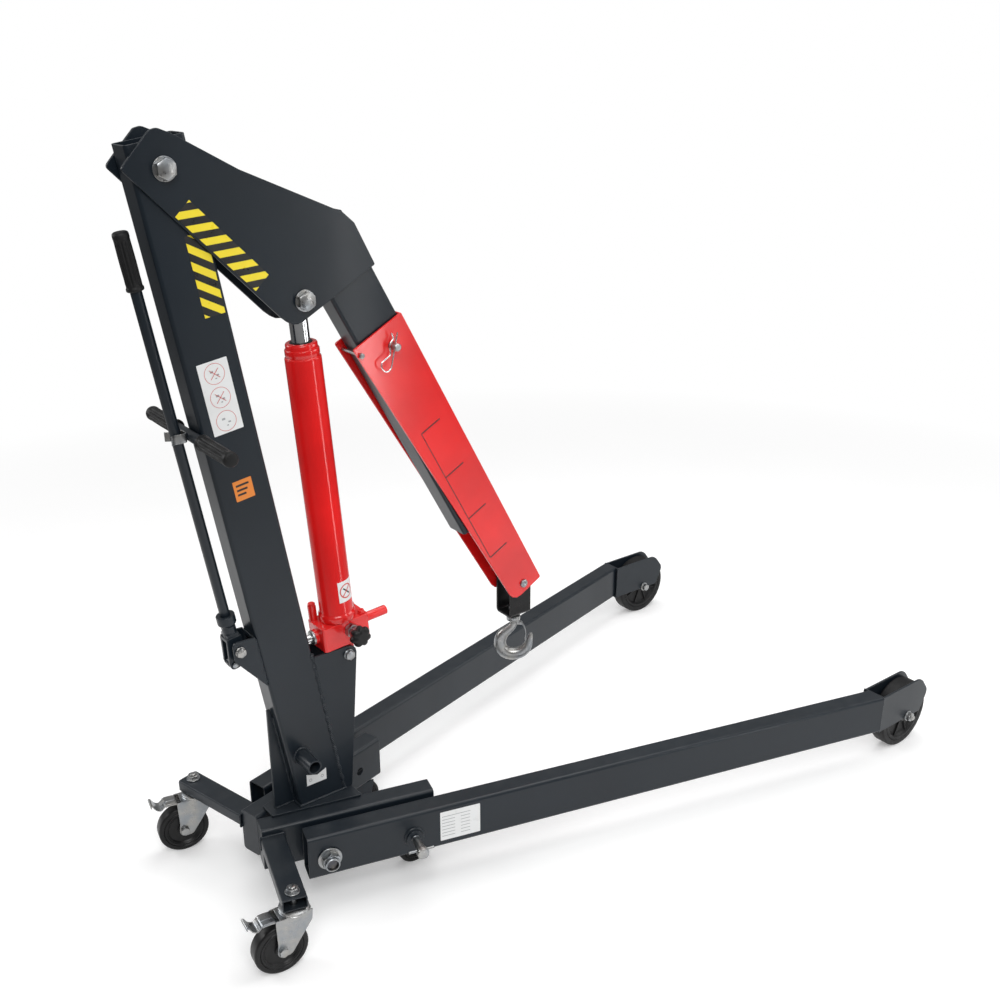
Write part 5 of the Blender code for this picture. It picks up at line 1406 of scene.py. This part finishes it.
def stroke(bent, name, width, length, angle, look, depth):
    """A straight stroke of the ram's sign, drawn flat in short steps and then wrapped."""
    along = Vector((math.cos(math.radians(angle)), math.sin(math.radians(angle))))
    side = Vector((-along.y, along.x)) * (width / 2)
    rows = []
    count = 12
    for step in range(count + 1):
        here = along * (length * (step / count - 0.5)) + Vector((0, SIGN_HEIGHT))
        one, other = here - side, here + side
        rows.append([(one.x, one.y, depth), (other.x, other.y, depth),
                     (other.x, other.y, depth + FILM), (one.x, one.y, depth + FILM)])
    piece(name, bent(lofted(rows, Matrix.Identity(4))), look, "ram", smooth=50)


# Stage

def make_stage():
    """A pale floor that fades into a white surround, and five soft lights."""
    floor_mesh = bpy.data.meshes.new("floor")
    reach = 30.0
    fade_start, fade_end = 1.3, 3.2
    floor_mesh.from_pydata(
        [(-reach, -reach, 0), (reach, -reach, 0), (reach, reach, 0), (-reach, reach, 0)], [],
        [(0, 1, 2, 3)])
    floor = bpy.data.objects.new("floor", floor_mesh)
    bpy.context.scene.collection.objects.link(floor)
    made, tree, shader = new_material("floor_pale")
    tone = ranged(tree, noise(tree, 2.0), 0.3, 0.7, 0.0, 1.0)
    base = blended(tree, tone, (0.86, 0.86, 0.86, 1), (0.88, 0.88, 0.88, 1))
    place = node(tree, "TexCoord").outputs["Object"]
    away = node(tree, "VectorMath", {0: place}, operation="LENGTH").outputs["Value"]
    fade = ranged(tree, away, fade_start, fade_end, 0.0, 1.0)
    base = blended(tree, fade, base, (0, 0, 0, 1))
    seen = node(tree, "LightPath").outputs["Is Camera Ray"]
    glow = ranged(tree, away, fade_start, fade_end, 0.22, 1.0)
    strength = node(tree, "Mix", {0: seen, 2: 0.10, 3: glow}, data_type="FLOAT").outputs[0]
    set_sockets(tree, shader, {
        "Base Color": base, "Roughness": 0.9, "Specular IOR Level": 0.0,
        "Emission Color": (1, 1, 1, 1), "Emission Strength": strength,
    })
    floor_mesh.materials.append(made)
    world = bpy.data.worlds.new("studio")
    bpy.context.scene.world = world
    world.use_nodes = True
    tree = world.node_tree
    background = tree.nodes["Background"]
    seen = node(tree, "LightPath").outputs["Is Camera Ray"]
    direction = node(tree, "TexCoord").outputs["Generated"]
    height = node(tree, "SeparateXYZ", {0: direction}).outputs[2]
    glow = ranged(tree, height, -0.1, 0.9, 0.17, 0.35)
    strength = node(tree, "Mix", {0: seen, 2: glow, 3: 1.0}, data_type="FLOAT").outputs[0]
    tree.links.new(strength, background.inputs["Strength"])
    background.inputs["Color"].default_value = (1.0, 1.0, 1.0, 1.0)
    add_light("key", (-1.6, -2.6, 3.4), (0.0, 0.0, 0.5), 2.2, 80.0)
    add_light("top", (0.6, 0.3, 3.6), (0.1, 0.0, 0.2), 2.8, 62.0)
    add_light("side", (2.8, -1.6, 1.9), (0.2, 0.0, 0.5), 1.5, 24.0)
    add_light("rear", (-2.6, 2.2, 2.0), (-0.3, 0.0, 0.7), 1.5, 30.0)
    add_light("strip", (0.9, -2.3, 1.1), (-0.45, 0.0, 0.8), 0.16, 9.0, 2.2)
    bpy.context.scene.view_settings.view_transform = "Standard"


def add_light(name, place, target, size, power, tall=None):
    light = bpy.data.lights.new(name, "AREA")
    light.shape = "RECTANGLE"
    light.size = size
    light.size_y = tall or size
    light.energy = power
    obj = bpy.data.objects.new(name, light)
    obj.location = place
    obj.rotation_euler = (Vector(target) - Vector(place)).to_track_quat("-Z", "Y").to_euler()
    bpy.context.scene.collection.objects.link(obj)


def make_load_diagram():
    """A blank lifting diagram on the extension's near face: thin lines and tick bars only."""
    face = EXTENSION_FACE + STANDOFF
    for index in range(4):
        u = 0.640 + 0.110 * index
        tick = rectangle(u - 0.0012, u + 0.0012, 0.150, 0.196)
        film(f"load_tick_{index + 1}", tick, "label_black", "extension", BOOM, face)
    rail = rectangle(0.640, 0.970, 0.1486, 0.1500)
    film("load_line", rail, "label_black", "extension", BOOM, face)


def make_camera():
    """The camera stands to the near rear corner, a little above the crane."""
    camera = bpy.data.cameras.new("camera")
    camera.lens = 41.01
    camera.sensor_width = 36.0
    obj = bpy.data.objects.new("camera", camera)
    obj.location = (-1.40195, -1.69775, 1.50542)
    obj.rotation_euler = (math.radians(90 - 21.27), 0, math.radians(52.50 - 90))
    bpy.context.scene.collection.objects.link(obj)
    bpy.context.scene.camera = obj


keep_frame_solids()
make_leg_wheels()
make_mid_wheels()
make_hinge_bolts()
make_lock_pins()
make_caster("left")
make_caster("right")
make_column_bolts()
make_push_bar()
make_boom_fittings()
make_hook_block()
make_hook()
make_ram()
make_lever()
make_welds()
make_boom_stickers()
make_column_stickers()
make_leg_stickers()
make_ram_sticker()
make_load_diagram()
make_stage()
make_camera()
